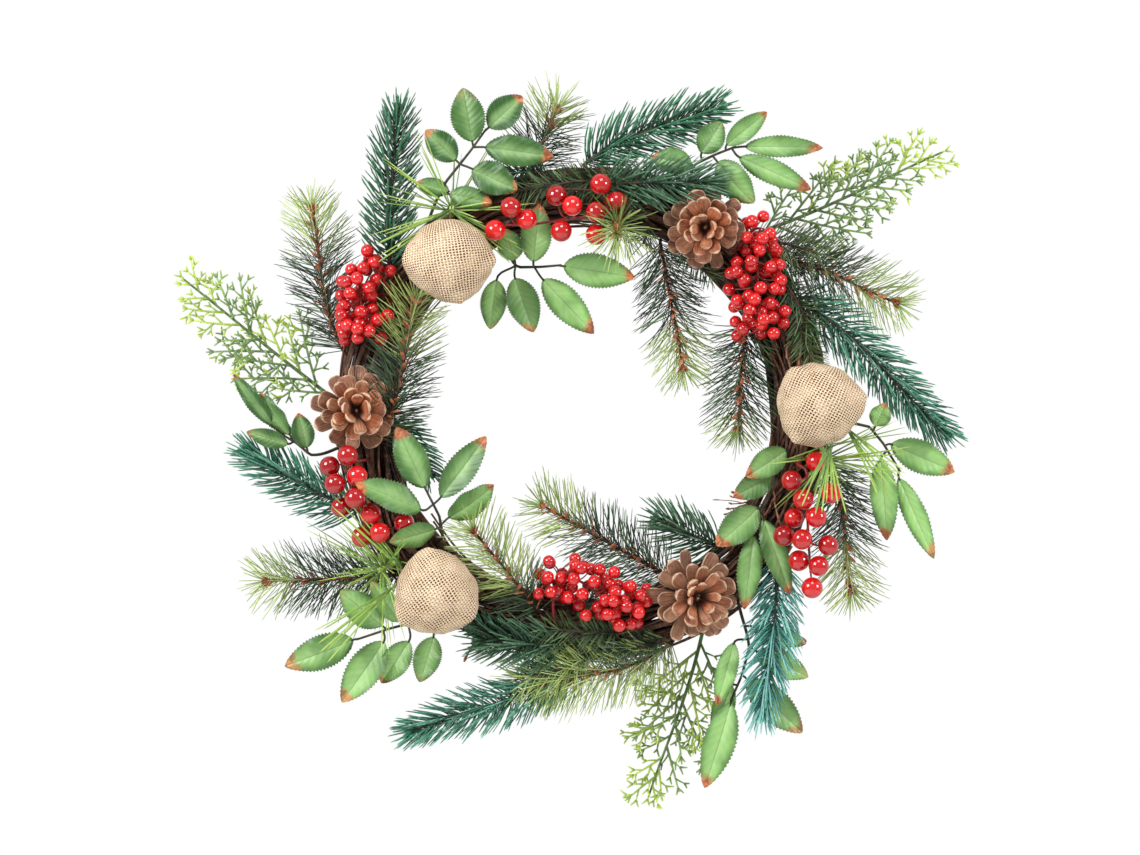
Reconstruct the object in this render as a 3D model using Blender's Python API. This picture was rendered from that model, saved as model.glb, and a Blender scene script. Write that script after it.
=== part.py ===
"""A wicker Christmas door wreath: a ring of twisted vines dressed with fir, pine and cedar sprays,
toothed leaves, berry picks, pine cones, burlap-covered balls and tufts of grass.

Everything is placed in the ring's own frame, whose origin is the ring's centre. Across is +X, up is +Z,
and forward, towards whoever looks at the door, is -Y. At the end the ring's centre is hung below the
door hook, so the scene's origin is the inner crest of the ring's top, where the hook carries it.

Stems are tubes with narrow bands of faces where things grow. A needle, a berry's stalk, a leaf or a
side branch is drawn out of one face of a band, so that each spray is one closed body.
"""

import math
import random

import bmesh
import bpy
from mathutils import Matrix, Vector
from mathutils.bvhtree import BVHTree
from mathutils.geometry import interpolate_bezier

MM = 0.001
FRONT = Vector((0, -1, 0))
GAP = 0.35 * MM  # clearance that neighbouring pieces keep
LONGEST_STEP = 15 * MM  # of a bare stem between two points of its line

# Ring of vines
RING_RADIUS = 142 * MM
VINE_COUNT = 8
LAPS_PER_VINE = 1.5
POINTS_PER_LAP = 15
VINE_SIDES = 5
VINE_RADIUS = 3.9 * MM
VINE_LAYER_RADIUS = 16.2 * MM
CORE_RADIUS = 11.2 * MM
VINE_END_GAP = 0.03  # share of a lap left open between the cut ends of two vines
TWISTS_PER_LAP = 1 + 5 / 12  # the twelve laps lie in twelve even places round the bundle
HOOK_DROP = RING_RADIUS - VINE_LAYER_RADIUS - VINE_RADIUS

# Pine cones
CONE_COLUMNS = 10
CONE_ROWS = 5
CONE_CORE_RADIUS = 7 * MM
CONE_CORE_HEIGHT = 30 * MM
CONE_SCALE_LENGTH = 21 * MM
CONE_SCALE_WIDTH = 14 * MM

# Burlap balls
BALL_RADIUS = 27 * MM
BALL_SEGMENTS = 11
BALL_RINGS = 7
CLOTH_THICKNESS = 0.8 * MM
PINCH_HEIGHT = 0.15  # of a corner of the cloth, as a share of the ball's radius
PINCH_SPREAD = 0.3  # radians round the corner
FOAM_RADIUS = 24 * MM

# Berries
LARGE_BERRY_RADIUS = 6.6 * MM
SMALL_BERRY_RADIUS = 4.1 * MM
BERRY_STEM_RADIUS = 1.0 * MM
BUNCH_STEP = 11.5 * MM

# Leaves
LEAF_STEM_RADIUS = 1.0 * MM
LEAF_THICKNESS = 1.2 * MM
# Share of a leaf's length, and how far its margin stands out there: its teeth
LEAF_ROWS = ((0.15, 1.0), (0.32, 0.9), (0.48, 1.0), (0.78, 0.95))

# Needled stems. Lean is the angle between needle and stem in degrees, and flat squeezes the spray
# front to back.
FIR = {"needle": 22 * MM, "lean": 56, "step": 13.7 * MM, "stem": 1.3 * MM, "band": 1.5 * MM, "flat": 0.6}
PINE = {"needle": 32 * MM, "lean": 55, "step": 14.9 * MM, "stem": 1.2 * MM, "band": 1.1 * MM, "flat": 0.7}
GRASS = {"needle": 56 * MM, "lean": 78, "step": 3.4 * MM, "stem": 1.8 * MM, "band": 1.3 * MM, "flat": 1.0}

END_NEEDLE = 0.5  # length of the needle at a stem's end, as a share of the others

# Cedar fronds
CEDAR_STEM_RADIUS = 1.3 * MM
CEDAR_BARE_STEM = 20 * MM
CEDAR_STEP = 14 * MM
CEDAR_BRANCH = 48 * MM
CEDAR_LONG_BRANCH = 30 * MM  # a branch this long has three forks, and a shorter one two

COLOURS = {
    "vine": ((0.17, 0.10, 0.06), 0.85),
    "pine_cone": ((0.30, 0.16, 0.09), 0.75),
    "burlap": ((0.71, 0.56, 0.38), 0.95),
    "foam": ((0.86, 0.86, 0.83), 0.9),
    "berry": ((0.72, 0.02, 0.02), 0.15),
    "leaf": ((0.14, 0.33, 0.09), 0.55),
    "fir": ((0.03, 0.20, 0.12), 0.5),
    "pine": ((0.10, 0.22, 0.07), 0.5),
    "cedar": ((0.25, 0.38, 0.08), 0.55),
    "grass": ((0.42, 0.55, 0.10), 0.5),
}

# Everything below is placed in millimetres as across, up, and forward. A start on the ring is a clock
# angle in degrees, and the side of the bundle: 0 faces outwards, 90 forward, 180 the hole, 270 the door.

# Pine cones: across, up, size, lean sideways and upwards in degrees
CONES = ((80, 120, 1.0, -8, 8), (-148, 0, 1.02, 10, -4), (67, -118, 1.13, 6, -10))

# Burlap balls: across, up, and the clock angles at which the cloth is pinched into a corner
BALLS = ((-85, 97, (165, 285, 40)), (149, 5, (215, 320, 80)), (-93, -114, (120, 350, 230)))

# Large berries: start, stem, and the berries
LARGE_PICKS = (
    ((5, 95), ((14, 126, 28), (-10, 124, 29), (-34, 120, 29), (-50, 120, 29)),
     ((11, 145, 40), (1, 143, 35), (8, 127, 46), (21, 134, 38), (8, 113, 40), (-14, 115, 43), (-17, 138, 38),
      (-7, 131, 40), (-36, 123, 38), (-46, 130, 35), (-56, 116, 37))),
    ((103, 95), ((143, -38, 29), (143, -60, 29), (144, -84, 30), (145, -102, 31)),
     ((148, -31, 38), (132, -43, 41), (139, -55, 46), (157, -51, 42), (134, -67, 37), (127, -78, 40),
      (147, -66, 48), (138, -80, 47), (155, -84, 44), (137, -94, 38), (149, -97, 41), (145, -111, 42))),
    ((258, 95), ((-150, -34, 29), (-148, -54, 29), (-138, -70, 29), (-120, -74, 29)),
     ((-149, -27, 44), (-161, -34, 40), (-143, -40, 46), (-157, -45, 36), (-154, -60, 38), (-144, -54, 50),
      (-135, -64, 40), (-129, -76, 42), (-114, -70, 36), (-141, -79, 36))),
)

# Dense bunches of small berries: start, stem, and how far the berries stand out at its two ends
SMALL_PICKS = (
    ((43, 95), ((113, 118, 28), (111, 98, 29), (112, 76, 28), (114, 52, 26)), 10, 21),
    ((187, 95), ((-14, -101, 27), (2, -110, 28), (20, -123, 28), (38, -127, 28)), 13, 19),
    ((300, 95), ((-141, 98, 27), (-143, 80, 28), (-141, 62, 28), (-145, 46, 28)), 9, 16),
)

# Leaf sprays: start, stem, then each leaf as the base and the tip across and up, how far forward it
# lies, and its width
LEAF_SPRAYS = (
    ((318, 50), ((-88, 148, 24), (-72, 168, 25), (-62, 182, 24)),
     ((-70, 172, -77, 208, 26, 22), (-60, 180, -39, 203, 24, 20), (-80, 162, -101, 181, 26, 18),
      (-63, 170, -19, 164, 28, 20), (-71, 156, -42, 142, 32, 21), (-86, 142, -107, 148, 24, 12),
      (-86, 140, -58, 134, 30, 15))),
    ((336, 150), ((-42, 94, 12), (-27, 94, 16), (-14, 95, 18)),
     ((-32, 97, -28, 134, 28, 20), (-13, 95, 33, 87, 22, 22), (-26, 86, 7, 51, 16, 20),
      (-44, 87, -32, 52, 12, 21), (-56, 86, -60, 54, 10, 17), (-44, 98, -50, 118, 22, 17))),
    ((26, 40), ((72, 160, 18), (85, 166, 20), (98, 171, 20)),
     ((76, 167, 89, 187, 20, 18), (92, 172, 118, 193, 22, 14), (104, 171, 154, 170, 22, 14),
      (100, 164, 146, 143, 26, 16), (86, 161, 109, 134, 28, 22), (70, 160, 44, 165, 14, 17))),
    ((94, 60), ((184, -9, 20), (193, -20, 20), (204, -38, 18)),
     ((189, -12, 194, 6, 24, 14), (198, -20, 239, -38, 18, 21), (191, -30, 195, -82, 22, 18),
      (203, -42, 226, -94, 16, 15))),
    ((108, 130), ((124, -42, 25), (118, -56, 25), (111, -70, 24)),
     ((130, -24, 104, -41, 30, 18), (121, -40, 96, -54, 27, 17), (112, -61, 85, -85, 27, 21),
      (109, -78, 103, -126, 26, 16), (115, -68, 132, -116, 32, 16))),
    ((140, 40), ((107, -152, 14), (102, -170, 14), (95, -186, 14)),
     ((97, -148, 86, -188, 18, 14), (95, -187, 78, -241, 20, 21), (106, -172, 142, -207, 6, 22),
      (112, -154, 146, -171, 6, 18), (110, -138, 145, -148, 6, 17), (96, -176, 84, -206, 8, 14))),
    ((222, 60), ((-106, -134, 16), (-125, -139, 16), (-146, -146, 16)),
     ((-128, -141, -156, -114, 22, 21), (-118, -134, -136, -108, 24, 15), (-148, -146, -192, -163, 18, 22),
      (-128, -147, -155, -186, 20, 22), (-112, -147, -130, -174, 16, 18), (-96, -144, -105, -173, 20, 18))),
    ((228, 140), ((-90, -78, 26), (-92, -66, 28), (-100, -50, 30)),
     ((-101, -48, -119, -9, 32, 21), (-91, -54, -62, -15, 28, 19), (-103, -62, -144, -44, 48, 20),
      (-86, -67, -57, -46, 26, 19), (-94, -74, -123, -82, 44, 17))),
    ((262, 20), ((-176, -27, 14), (-184, -20, 14), (-197, -12, 14)),
     ((-200, -8, -225, 25, 18, 11), (-189, -14, -208, 13, 16, 14), (-178, -24, -183, 0, 20, 15),
      (-190, -20, -216, -12, 20, 12))),
)

# Fir, pine and cedar sprays: start, then the tip
FIR_SPRAYS = (
    ((306, 50), (-120, 193, 10)),
    ((0, 20), (86, 197, 12)),
    ((61, 40), (232, -12, 16)),
    ((127, 40), (115, -191, 24)),
    ((180, 20), (-110, -206, 8)),
    ((246, 30), (-216, -26, 10)),
    ((4, 78), (80, 147, 30)),
    ((184, 70), (-64, -146, 26)),
    ((134, 150), (51, -69, 14)),
)
PINE_SPRAYS = (
    ((347, 20), (-17, 198, -4)),
    ((284, 20), (-176, 133, 2)),
    ((262, 110), (-107, 72, 32)),
    ((228, 10), (-206, -109, 0)),
    ((192, 120), (-70, -75, 32)),
    ((152, 170), (-26, -60, 8)),
    ((158, 20), (-25, -175, 12)),
    ((12, 120), (21, 113, 52)),
    ((24, 160), (65, 29, 8)),
    ((61, 150), (100, -10, 10)),
    ((50, 30), (202, 71, 14)),
    ((100, 15), (173, -115, 10)),
)
CEDAR_SPRAYS = (
    ((43, 330), (234, 170, -6)),
    ((272, 340), (-260, 87, -6)),
    ((150, 340), (43, -249, -4)),
)

# Tufts of grass behind the balls: start, then the tip of the short stem that the blades stand out from
GRASS_TUFTS = (
    ((326, 60), (-84, 131, 30)),
    ((97, 60), (157, -33, 26)),
    ((231, 60), (-131, -101, 26)),
)

collection = None
ring_centre = None
finished = []  # (lowest corner, highest corner, tree) of each piece already made


def place(across, up, forward):
    """A point in the ring's frame, from millimetres."""
    return Vector((across, -forward, up)) * MM


def start_scene():
    """Clears the scene, and makes the materials, the wreath's collection and the ring's centre."""
    global collection, ring_centre
    for obj in list(bpy.data.objects):
        bpy.data.objects.remove(obj)
    collection = bpy.data.collections.new("door_wreath")
    bpy.context.scene.collection.children.link(collection)
    ring_centre = bpy.data.objects.new("ring_centre", None)
    collection.objects.link(ring_centre)
    for name, (colour, roughness) in COLOURS.items():
        material = bpy.data.materials.new(name)
        material.use_nodes = True
        shader = material.node_tree.nodes["Principled BSDF"]
        shader.inputs["Base Color"].default_value = (*colour, 1)
        shader.inputs["Roughness"].default_value = roughness
        shader.inputs["Metallic"].default_value = 0


def object_from(name, body, material):
    """An object from a bmesh, which is freed."""
    mesh = bpy.data.meshes.new(name)
    bmesh.ops.recalc_face_normals(body, faces=body.faces)
    body.to_mesh(mesh)
    body.free()
    mesh.materials.append(bpy.data.materials[material])
    obj = bpy.data.objects.new(name, mesh)
    collection.objects.link(obj)
    return obj


def keep(obj, smooth_below=30):
    """Hangs a finished piece on the ring's centre, and remembers its shape for the pieces to come."""
    obj.parent = ring_centre
    obj.data.shade_smooth()
    obj.data.set_sharp_from_angle(angle=math.radians(smooth_below))
    corners = [v.co for v in obj.data.vertices]
    low = Vector(map(min, zip(*corners)))
    high = Vector(map(max, zip(*corners)))
    finished.append((low, high, BVHTree.FromPolygons(corners, [list(p.vertices) for p in obj.data.polygons])))
    return obj


def add_tube(body, points, radii, sides, turns=None, closed=False):
    """A tube through the points. Returns the side faces of each step between two points."""
    rings = []
    up = FRONT
    last = len(points) - 1
    for index, point in enumerate(points):
        ahead = points[(index + 1) % (last + 1)] if closed else points[min(index + 1, last)]
        behind = points[index - 1] if closed else points[max(index - 1, 0)]
        along = (ahead - behind).normalized()
        up = up - along * up.dot(along)
        if up.length < 0.1:
            up = along.cross(Vector((1, 0, 0)))
        up.normalize()
        across = along.cross(up)
        turn = turns[index] if turns else 0
        ring = []
        for side in range(sides):
            angle = turn + 2 * math.pi * side / sides
            outwards = up * math.cos(angle) + across * math.sin(angle)
            ring.append(body.verts.new(point + outwards * radii[index]))
        rings.append(ring)
    steps = list(zip(rings, rings[1:]))
    if closed:
        steps.append((rings[-1], rings[0]))
    else:
        body.faces.new(rings[0][::-1])
        body.faces.new(rings[-1])
    return [
        [body.faces.new((low[k - 1], low[k], high[k], high[k - 1])) for k in range(sides)]
        for low, high in steps
    ]


def draw_to_point(body, face, tip):
    """Replaces a face by a spike."""
    corners = list(face.verts)
    body.faces.remove(face)
    point = body.verts.new(tip)
    for k in range(len(corners)):
        body.faces.new((corners[k - 1], corners[k], point))


def draw_out(body, face, corners, blade=False):
    """Replaces a four-sided face by a tube to four new corners, which run the same way round it. A blade's
    corners are its upper middle, one margin, its lower middle and the other margin, and its faces are
    split alike above and below. Returns the end face and the side faces."""
    old = list(face.verts)
    middle = sum((v.co for v in old), Vector()) / 4
    centre = sum(corners, Vector()) / 4

    def twist(offset):
        return sum(
            ((corners[(k + offset) % 4] - centre).normalized() - (old[k].co - middle).normalized()).length
            for k in range(4)
        )

    offset = min(range(4), key=twist)
    body.faces.remove(face)
    new = [body.verts.new(corners[(k + offset) % 4]) for k in range(4)]
    sides = []
    for k in range(4):
        low, high = (old[k - 1], old[k]), (new[k - 1], new[k])
        if not blade:
            sides.append(body.faces.new((low[0], low[1], high[1], high[0])))
        elif (k - 1 + offset) % 2 == 0:
            sides.append(body.faces.new((low[0], low[1], high[1])))
            sides.append(body.faces.new((low[0], high[1], high[0])))
        else:
            sides.append(body.faces.new((low[0], low[1], high[0])))
            sides.append(body.faces.new((low[1], high[1], high[0])))
    return body.faces.new(new), sides


def is_clear(points, radius):
    """True where a rod of this radius along the points keeps its gap to every finished piece."""
    reach = radius + GAP
    lowest = Vector(map(min, zip(*points)))
    highest = Vector(map(max, zip(*points)))
    for low, high, tree in finished:
        if any(lowest[k] - reach > high[k] or highest[k] + reach < low[k] for k in range(3)):
            continue
        for start, end in zip(points, points[1:]):
            step = end - start
            if step.length > 0 and tree.ray_cast(start, step, step.length)[0] is not None:
                return False
        if any(tree.find_nearest(p, reach)[0] is not None for p in points):
            return False
    return True


def between(start, end, spacing=2 * MM):
    """Points from start to end, no further apart than the spacing."""
    count = max(2, math.ceil((end - start).length / spacing) + 1)
    return [start.lerp(end, k / (count - 1)) for k in range(count)]


def ring_point(clock):
    """The point of the ring's centreline at a clock angle."""
    angle = math.radians(clock)
    return Vector((math.sin(angle), 0, math.cos(angle))) * RING_RADIUS


def ring_side(clock, side):
    """The direction out of the ring's bundle at a clock angle and a side."""
    angle = math.radians(side)
    return ring_point(clock).normalized() * math.cos(angle) + FRONT * math.sin(angle)


def ring_along(clock, towards):
    """The direction along the ring, clockwise or back, that leads towards a point."""
    angle = math.radians(clock)
    along = Vector((math.cos(angle), 0, -math.sin(angle)))
    return along if (towards - ring_point(clock)).dot(along) > 0 else -along


def seat_on_ring(clock, side, radius):
    """The centre of a stem of this radius that starts on the bundle's surface."""
    outwards = ring_side(clock, side)
    start = ring_point(clock)
    ring = [tree for _, _, tree in finished[: VINE_COUNT + 1]]
    beyond = 3 * VINE_LAYER_RADIUS
    hits = [tree.ray_cast(start + outwards * beyond, -outwards)[3] for tree in ring]
    distance = beyond - min(hit for hit in hits if hit)
    while any(tree.find_nearest(start + outwards * distance, radius + GAP)[0] is not None for tree in ring):
        distance += 0.1 * MM
    return start + outwards * distance


def rooted(root, outwards, radius):
    """The point nearest to the ring, straight in from a stem's seat, where its flat end keeps its gap."""
    across = outwards.orthogonal().normalized() * radius
    rim = [Matrix.Rotation(math.radians(45 * k), 3, outwards) @ across for k in range(8)] + [Vector()]
    ring = [tree for _, _, tree in finished[: VINE_COUNT + 1]]
    point = root - outwards * 0.2 * MM
    while all(tree.find_nearest(point + edge, GAP)[0] is None for tree in ring for edge in rim):
        point = point - outwards * 0.1 * MM
    return point + outwards * 0.1 * MM


def settle_back(obj):
    """Moves a piece straight back from in front of the ring until it all but rests there."""
    corners = [v.co.copy() for v in obj.data.vertices]
    faces = [list(p.vertices) for p in obj.data.polygons]
    back = 0.0
    while not any(
        BVHTree.FromPolygons([c + Vector((0, back, 0)) for c in corners], faces).overlap(tree)
        for _, _, tree in finished
    ):
        back += GAP
    obj.data.transform(Matrix.Translation((0, back - 2 * GAP, 0)))


def vine_start(vine):
    """The point of the long helix at which a vine starts. The cut ends are spread round the ring."""
    spread = 0.18 * math.sin(2.4 * vine) if 0 < vine < VINE_COUNT else 0
    return round((LAPS_PER_VINE * vine + spread) * POINTS_PER_LAP)


def make_ring():
    """The core bundle, and the vines that twist round it. They follow each other along one long helix whose
    laps share one layer at even spacing, so that none meets another."""
    core = bmesh.new()
    centreline = [ring_point(360 * k / POINTS_PER_LAP) for k in range(POINTS_PER_LAP)]
    add_tube(core, centreline, [CORE_RADIUS] * POINTS_PER_LAP, 8, closed=True)
    keep(object_from("ring_core", core, "vine"), smooth_below=50)
    for vine in range(VINE_COUNT):
        laps = [k / POINTS_PER_LAP for k in range(vine_start(vine), vine_start(vine + 1) + 1)]
        points = []
        for lap in laps:
            way = ring_side(360 * lap, 360 * lap * TWISTS_PER_LAP)
            points.append(ring_point(360 * lap) + way * VINE_LAYER_RADIUS)
        points[-1] = points[-1].lerp(points[-2], VINE_END_GAP * POINTS_PER_LAP)
        radii = [VINE_RADIUS * (0.95 + 0.05 * math.sin(5 * lap + vine)) for lap in laps]
        body = bmesh.new()
        add_tube(body, points, radii, VINE_SIDES)
        keep(object_from(f"vine_{vine + 1}", body, "vine"), smooth_below=65)


def make_cone(name, across, up, size, lean_side, lean_up, seed):
    """A pine cone with its tip to the front: a spindle whose alternate faces grow into woody scales."""
    rng = random.Random(seed)
    body = bmesh.new()
    shares = [k / CONE_ROWS for k in range(CONE_ROWS + 1)]
    points = [Vector((0, -share * CONE_CORE_HEIGHT, 0)) for share in shares]
    radii = [CONE_CORE_RADIUS * (0.45 + 0.55 * math.sin(math.pi * (0.12 + 0.82 * share))) for share in shares]
    rows = add_tube(body, points, radii, CONE_COLUMNS)
    for row, faces in enumerate(rows):
        height = row / (CONE_ROWS - 1)
        for column, face in enumerate(faces):
            if (row + column) % 2 == 0:
                grow_scale(body, face, height, rng)
    obj = object_from(name, body, "pine_cone")
    lean = Matrix.Rotation(math.radians(lean_side), 4, "Z") @ Matrix.Rotation(math.radians(lean_up), 4, "X")
    obj.data.transform(Matrix.Translation(place(across, up, 60)) @ lean @ Matrix.Scale(size, 4))
    settle_back(obj)
    keep(obj, smooth_below=20)


def grow_scale(body, face, height, rng):
    """Draws one face of the spindle out into a scale. Height is 0 at the cone's base and 1 at its tip."""
    root = face.calc_center_median()
    outward = Vector((root.x, 0, root.z)).normalized()
    rise = math.radians(-4 + 70 * height ** 1.3 + rng.uniform(-3, 3))
    along = outward * math.cos(rise) + FRONT * math.sin(rise)
    across = outward.cross(FRONT)
    up = across.cross(along)
    length = CONE_SCALE_LENGTH * (1 - 0.45 * height) * rng.uniform(0.94, 1.05)
    width = CONE_SCALE_WIDTH * (1 - 0.4 * height)
    for reach, wide, thick in ((0.68, width, 1.8 * MM), (1.0, width * 0.66, 3.4 * MM)):
        centre = root + along * length * reach
        arm, lift = across * wide / 2, up * thick / 2
        corners = [centre + arm + lift, centre - arm + lift, centre - arm - lift, centre + arm - lift]
        face = draw_out(body, face, same_way_round(corners, along))[0]


def same_way_round(corners, way):
    """The corners in the order that runs anticlockwise, seen from where the direction leads."""
    turn = (corners[1] - corners[0]).cross(corners[2] - corners[1]).dot(way)
    return corners if turn > 0 else [corners[0], corners[3], corners[2], corners[1]]


def make_ball(number, across, up, pinches):
    """A foam ball in a burlap wrap that is open behind, where the cloth is gathered on its wire."""
    wrap = bmesh.new()
    bmesh.ops.create_uvsphere(wrap, u_segments=BALL_SEGMENTS, v_segments=BALL_RINGS, radius=BALL_RADIUS)
    bmesh.ops.rotate(wrap, verts=wrap.verts, cent=(0, 0, 0), matrix=Matrix.Rotation(math.radians(90), 3, "X"))
    rear = max(wrap.verts, key=lambda v: v.co.y)
    bmesh.ops.delete(wrap, geom=[rear], context="VERTS")
    for vert in wrap.verts:
        for pinch in pinches:
            angle = math.radians(pinch)
            corner = Vector((math.sin(angle), -0.3, math.cos(angle)))
            vert.co *= 1 + PINCH_HEIGHT * math.exp(-((vert.co.angle(corner) / PINCH_SPREAD) ** 2))
    bmesh.ops.triangulate(wrap, faces=wrap.faces)
    bmesh.ops.solidify(wrap, geom=wrap.faces, thickness=CLOTH_THICKNESS)
    wrap_obj = object_from(f"burlap_wrap_{number}", wrap, "burlap")
    wrap_obj.data.transform(Matrix.Translation(place(across, up, 90)))
    settle_back(wrap_obj)
    keep(wrap_obj)
    front = min(v.co.y for v in wrap_obj.data.vertices)
    foam = bmesh.new()
    bmesh.ops.create_icosphere(foam, subdivisions=2, radius=FOAM_RADIUS)
    foam_obj = object_from(f"foam_ball_{number}", foam, "foam")
    foam_obj.data.transform(Matrix.Translation(Vector((across * MM, front + BALL_RADIUS, up * MM))))
    keep(foam_obj)


def curve_between(start, lead, end, approach, count=24):
    """A smooth line that leaves the start along lead and comes to the end along approach."""
    return [p.copy() for p in interpolate_bezier(start, start + lead, end - approach, end, count)]


def clear_line(name, start, knots, radius):
    """A stem's line from the ring through the knots. Its start and its bow change until it keeps clear."""
    clock, side = start
    knots = [place(*knot) for knot in knots]
    end = knots[0]
    beyond = knots[1] if len(knots) > 1 else end
    for shift in (0, 4, -4, 8, -8, 12, -12):
        for turn in (0, 25, -25, 50, -50):
            root = seat_on_ring(clock + shift, side + turn, radius)
            outwards = ring_side(clock + shift, side + turn)
            if not is_clear([root, root + outwards * 2 * MM], radius):
                continue
            span = (end - root).length
            heading = (end - root).normalized()
            along = ring_along(clock + shift, end)
            lead = (outwards * 0.5 + heading * 0.8 + along * 0.3) * span * 0.33
            approach = (beyond - root).normalized() * span * 0.33
            for bow in (0, 3, -3, 6, -6, 10, -10, 15, -15, 20, 26):
                forward = FRONT * bow * MM
                for swing in (0, 0.12, -0.12, 0.25, -0.25):
                    sideways = heading.cross(FRONT) * swing * span
                    tip = end + (forward * 0.7 if len(knots) == 1 else Vector())
                    points = curve_between(root, lead + forward + sideways, tip, approach - forward * 0.5)
                    if is_clear(points + knots[1:], radius):
                        return Line([rooted(root, outwards, radius)] + points + knots[1:])
    return None


class Line:
    """A stem's line, read by the distance along it."""

    def __init__(self, points):
        self.points = points
        self.marks = [0.0]
        for start, end in zip(points, points[1:]):
            self.marks.append(self.marks[-1] + (end - start).length)
        self.length = self.marks[-1]

    def at(self, distance):
        for k in range(1, len(self.marks)):
            if self.marks[k] >= distance:
                share = (distance - self.marks[k - 1]) / (self.marks[k] - self.marks[k - 1])
                return self.points[k - 1].lerp(self.points[k], share)
        return self.points[-1].copy()

    def heading(self, distance):
        step = 0.5 * MM
        return (self.at(min(distance + step, self.length)) - self.at(max(distance - step, 0))).normalized()

    def nearest(self, point):
        """The distance along the line at which it comes nearest to a point."""
        return min((self.length * k / 60 for k in range(61)), key=lambda d: (self.at(d) - point).length)


class Plant:
    """A stem with narrow bands of faces, and what grows out of them."""

    def __init__(self, line, radius, sides, places, band, thin=0.35, turn=0.0, first_turn=0.0):
        self.line = line
        self.places = places
        self.body = bmesh.new()
        self.beads = []  # (point, radius) of what has grown, so that the next thing keeps clear of it
        stops, turns, band_steps = [0.0, line.marks[1]], [first_turn] * 2, []
        for index, distance in enumerate(places):
            stops += waypoints(stops[-1], distance - band / 2)
            band_steps.append(len(stops))
            stops += [distance - band / 2, distance + band / 2]
            turns += [first_turn + turn * index] * (len(stops) - len(turns))
        stops += waypoints(stops[-1], line.length)
        stops.append(max(line.length, stops[-1] + band / 2))
        turns += [turns[-1]] * (len(stops) - len(turns))
        radii = [radius * (1 - thin * stop / line.length) for stop in stops]
        steps = add_tube(self.body, [line.at(stop) for stop in stops], radii, sides, turns)
        self.bands = [steps[k] for k in band_steps]

    def face(self, index, way):
        """The free face of a band that faces a direction most, taken off the band's free faces."""
        self.body.normal_update()
        chosen = max(self.bands[index], key=lambda f: f.normal.dot(way))
        self.bands[index].remove(chosen)
        return chosen

    def fits(self, points, radius):
        """True where beads at the points keep clear of finished pieces and of what has grown here."""
        if not is_clear(points, radius):
            return False
        return all(
            (point - other).length > radius + size + GAP for point in points for other, size in self.beads
        )

    def finish(self, name, material, smooth_below=30):
        return keep(object_from(name, self.body, material), smooth_below)


def waypoints(start, end):
    """Distances between two others, so that a stem keeps its curve along a bare length."""
    count = int((end - start) / LONGEST_STEP)
    return [start + (end - start) * (k + 1) / (count + 1) for k in range(count)]


def spread_places(wanted, spacing, low, high):
    """Distances along a stem for its bands. One too close to the one before is merged into it."""
    places = []
    for distance in sorted(min(max(d, low), high) for d in wanted):
        if not places or distance - places[-1] >= spacing:
            places.append(distance)
    return places


def grow_berry(body, face, centre, radius):
    """Draws half of a four-sided face out into a stalk that opens into a round berry."""
    first, second, third, fourth = face.verts
    body.faces.remove(face)
    body.faces.new((first, third, fourth))
    stalk = [first, second, third]
    middle = sum((v.co for v in stalk), Vector()) / 3
    way = (centre - middle).normalized()
    ball = bmesh.new()
    bmesh.ops.create_icosphere(ball, subdivisions=1, radius=radius)
    ball.faces.ensure_lookup_table()
    ball.normal_update()
    door = ball.faces[0]
    turn = door.normal.rotation_difference(-way).to_matrix()
    start = turn @ door.verts[0].co
    start -= way * start.dot(way)
    wanted = first.co - middle
    wanted -= way * wanted.dot(way)
    spin = Matrix.Rotation(math.atan2(start.cross(wanted).dot(way), start.dot(wanted)), 3, way)
    new = {v.index: body.verts.new(centre + spin @ (turn @ v.co)) for v in ball.verts}
    end = [new[door.verts[k].index] for k in (0, 2, 1)]
    for k in range(3):
        body.faces.new((stalk[k - 1], stalk[k], end[k], end[k - 1]))
    for facet in ball.faces[1:]:
        body.faces.new([new[v.index] for v in facet.verts])
    ball.free()


def try_berry(plant, index, centre, radius):
    """Grows a berry at the centre from a band of the stem, if it and its stalk keep clear."""
    root = plant.line.at(plant.places[index])
    way = (centre - root).normalized()
    stalk = between(root, centre - way * radius, 1.5 * MM)
    if not plant.bands[index] or not plant.fits([centre, centre], radius):
        return False
    if not is_clear(stalk[1:], 0.6 * MM) or not plant.fits(stalk[2:] or [centre, centre], 0.6 * MM):
        return False
    plant.body.normal_update()
    if max(f.normal.dot(way) for f in plant.bands[index]) < 0.15:
        return False
    grow_berry(plant.body, plant.face(index, way), centre, radius)
    plant.beads.append((centre, radius))
    plant.beads += [(p, 0.7 * MM) for p in stalk[2:]]
    return True


def make_large_pick(name, start, knots, berries):
    """A stem with large berries at given places, each on a stalk from where the stem passes it."""
    line = clear_line(name, start, knots, BERRY_STEM_RADIUS)
    centres = [place(*berry) for berry in berries]
    band = 1.4 * MM
    wanted = [line.nearest(centre) - 3 * MM for centre in centres]
    places = spread_places(wanted, 3 * band, 3 * MM, line.length - 2 * MM)
    plant = Plant(line, BERRY_STEM_RADIUS, 5, places, band)
    for centre in centres:
        order = sorted(range(len(places)), key=lambda k: (line.at(places[k]) - centre).length)
        tries = [(k, centre + FRONT * push * 1.5 * MM) for push in range(9) for k in order]
        for index, spot in tries:
            if try_berry(plant, index, spot, LARGE_BERRY_RADIUS):
                break
    plant.finish(name, "berry", smooth_below=60)


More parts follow.
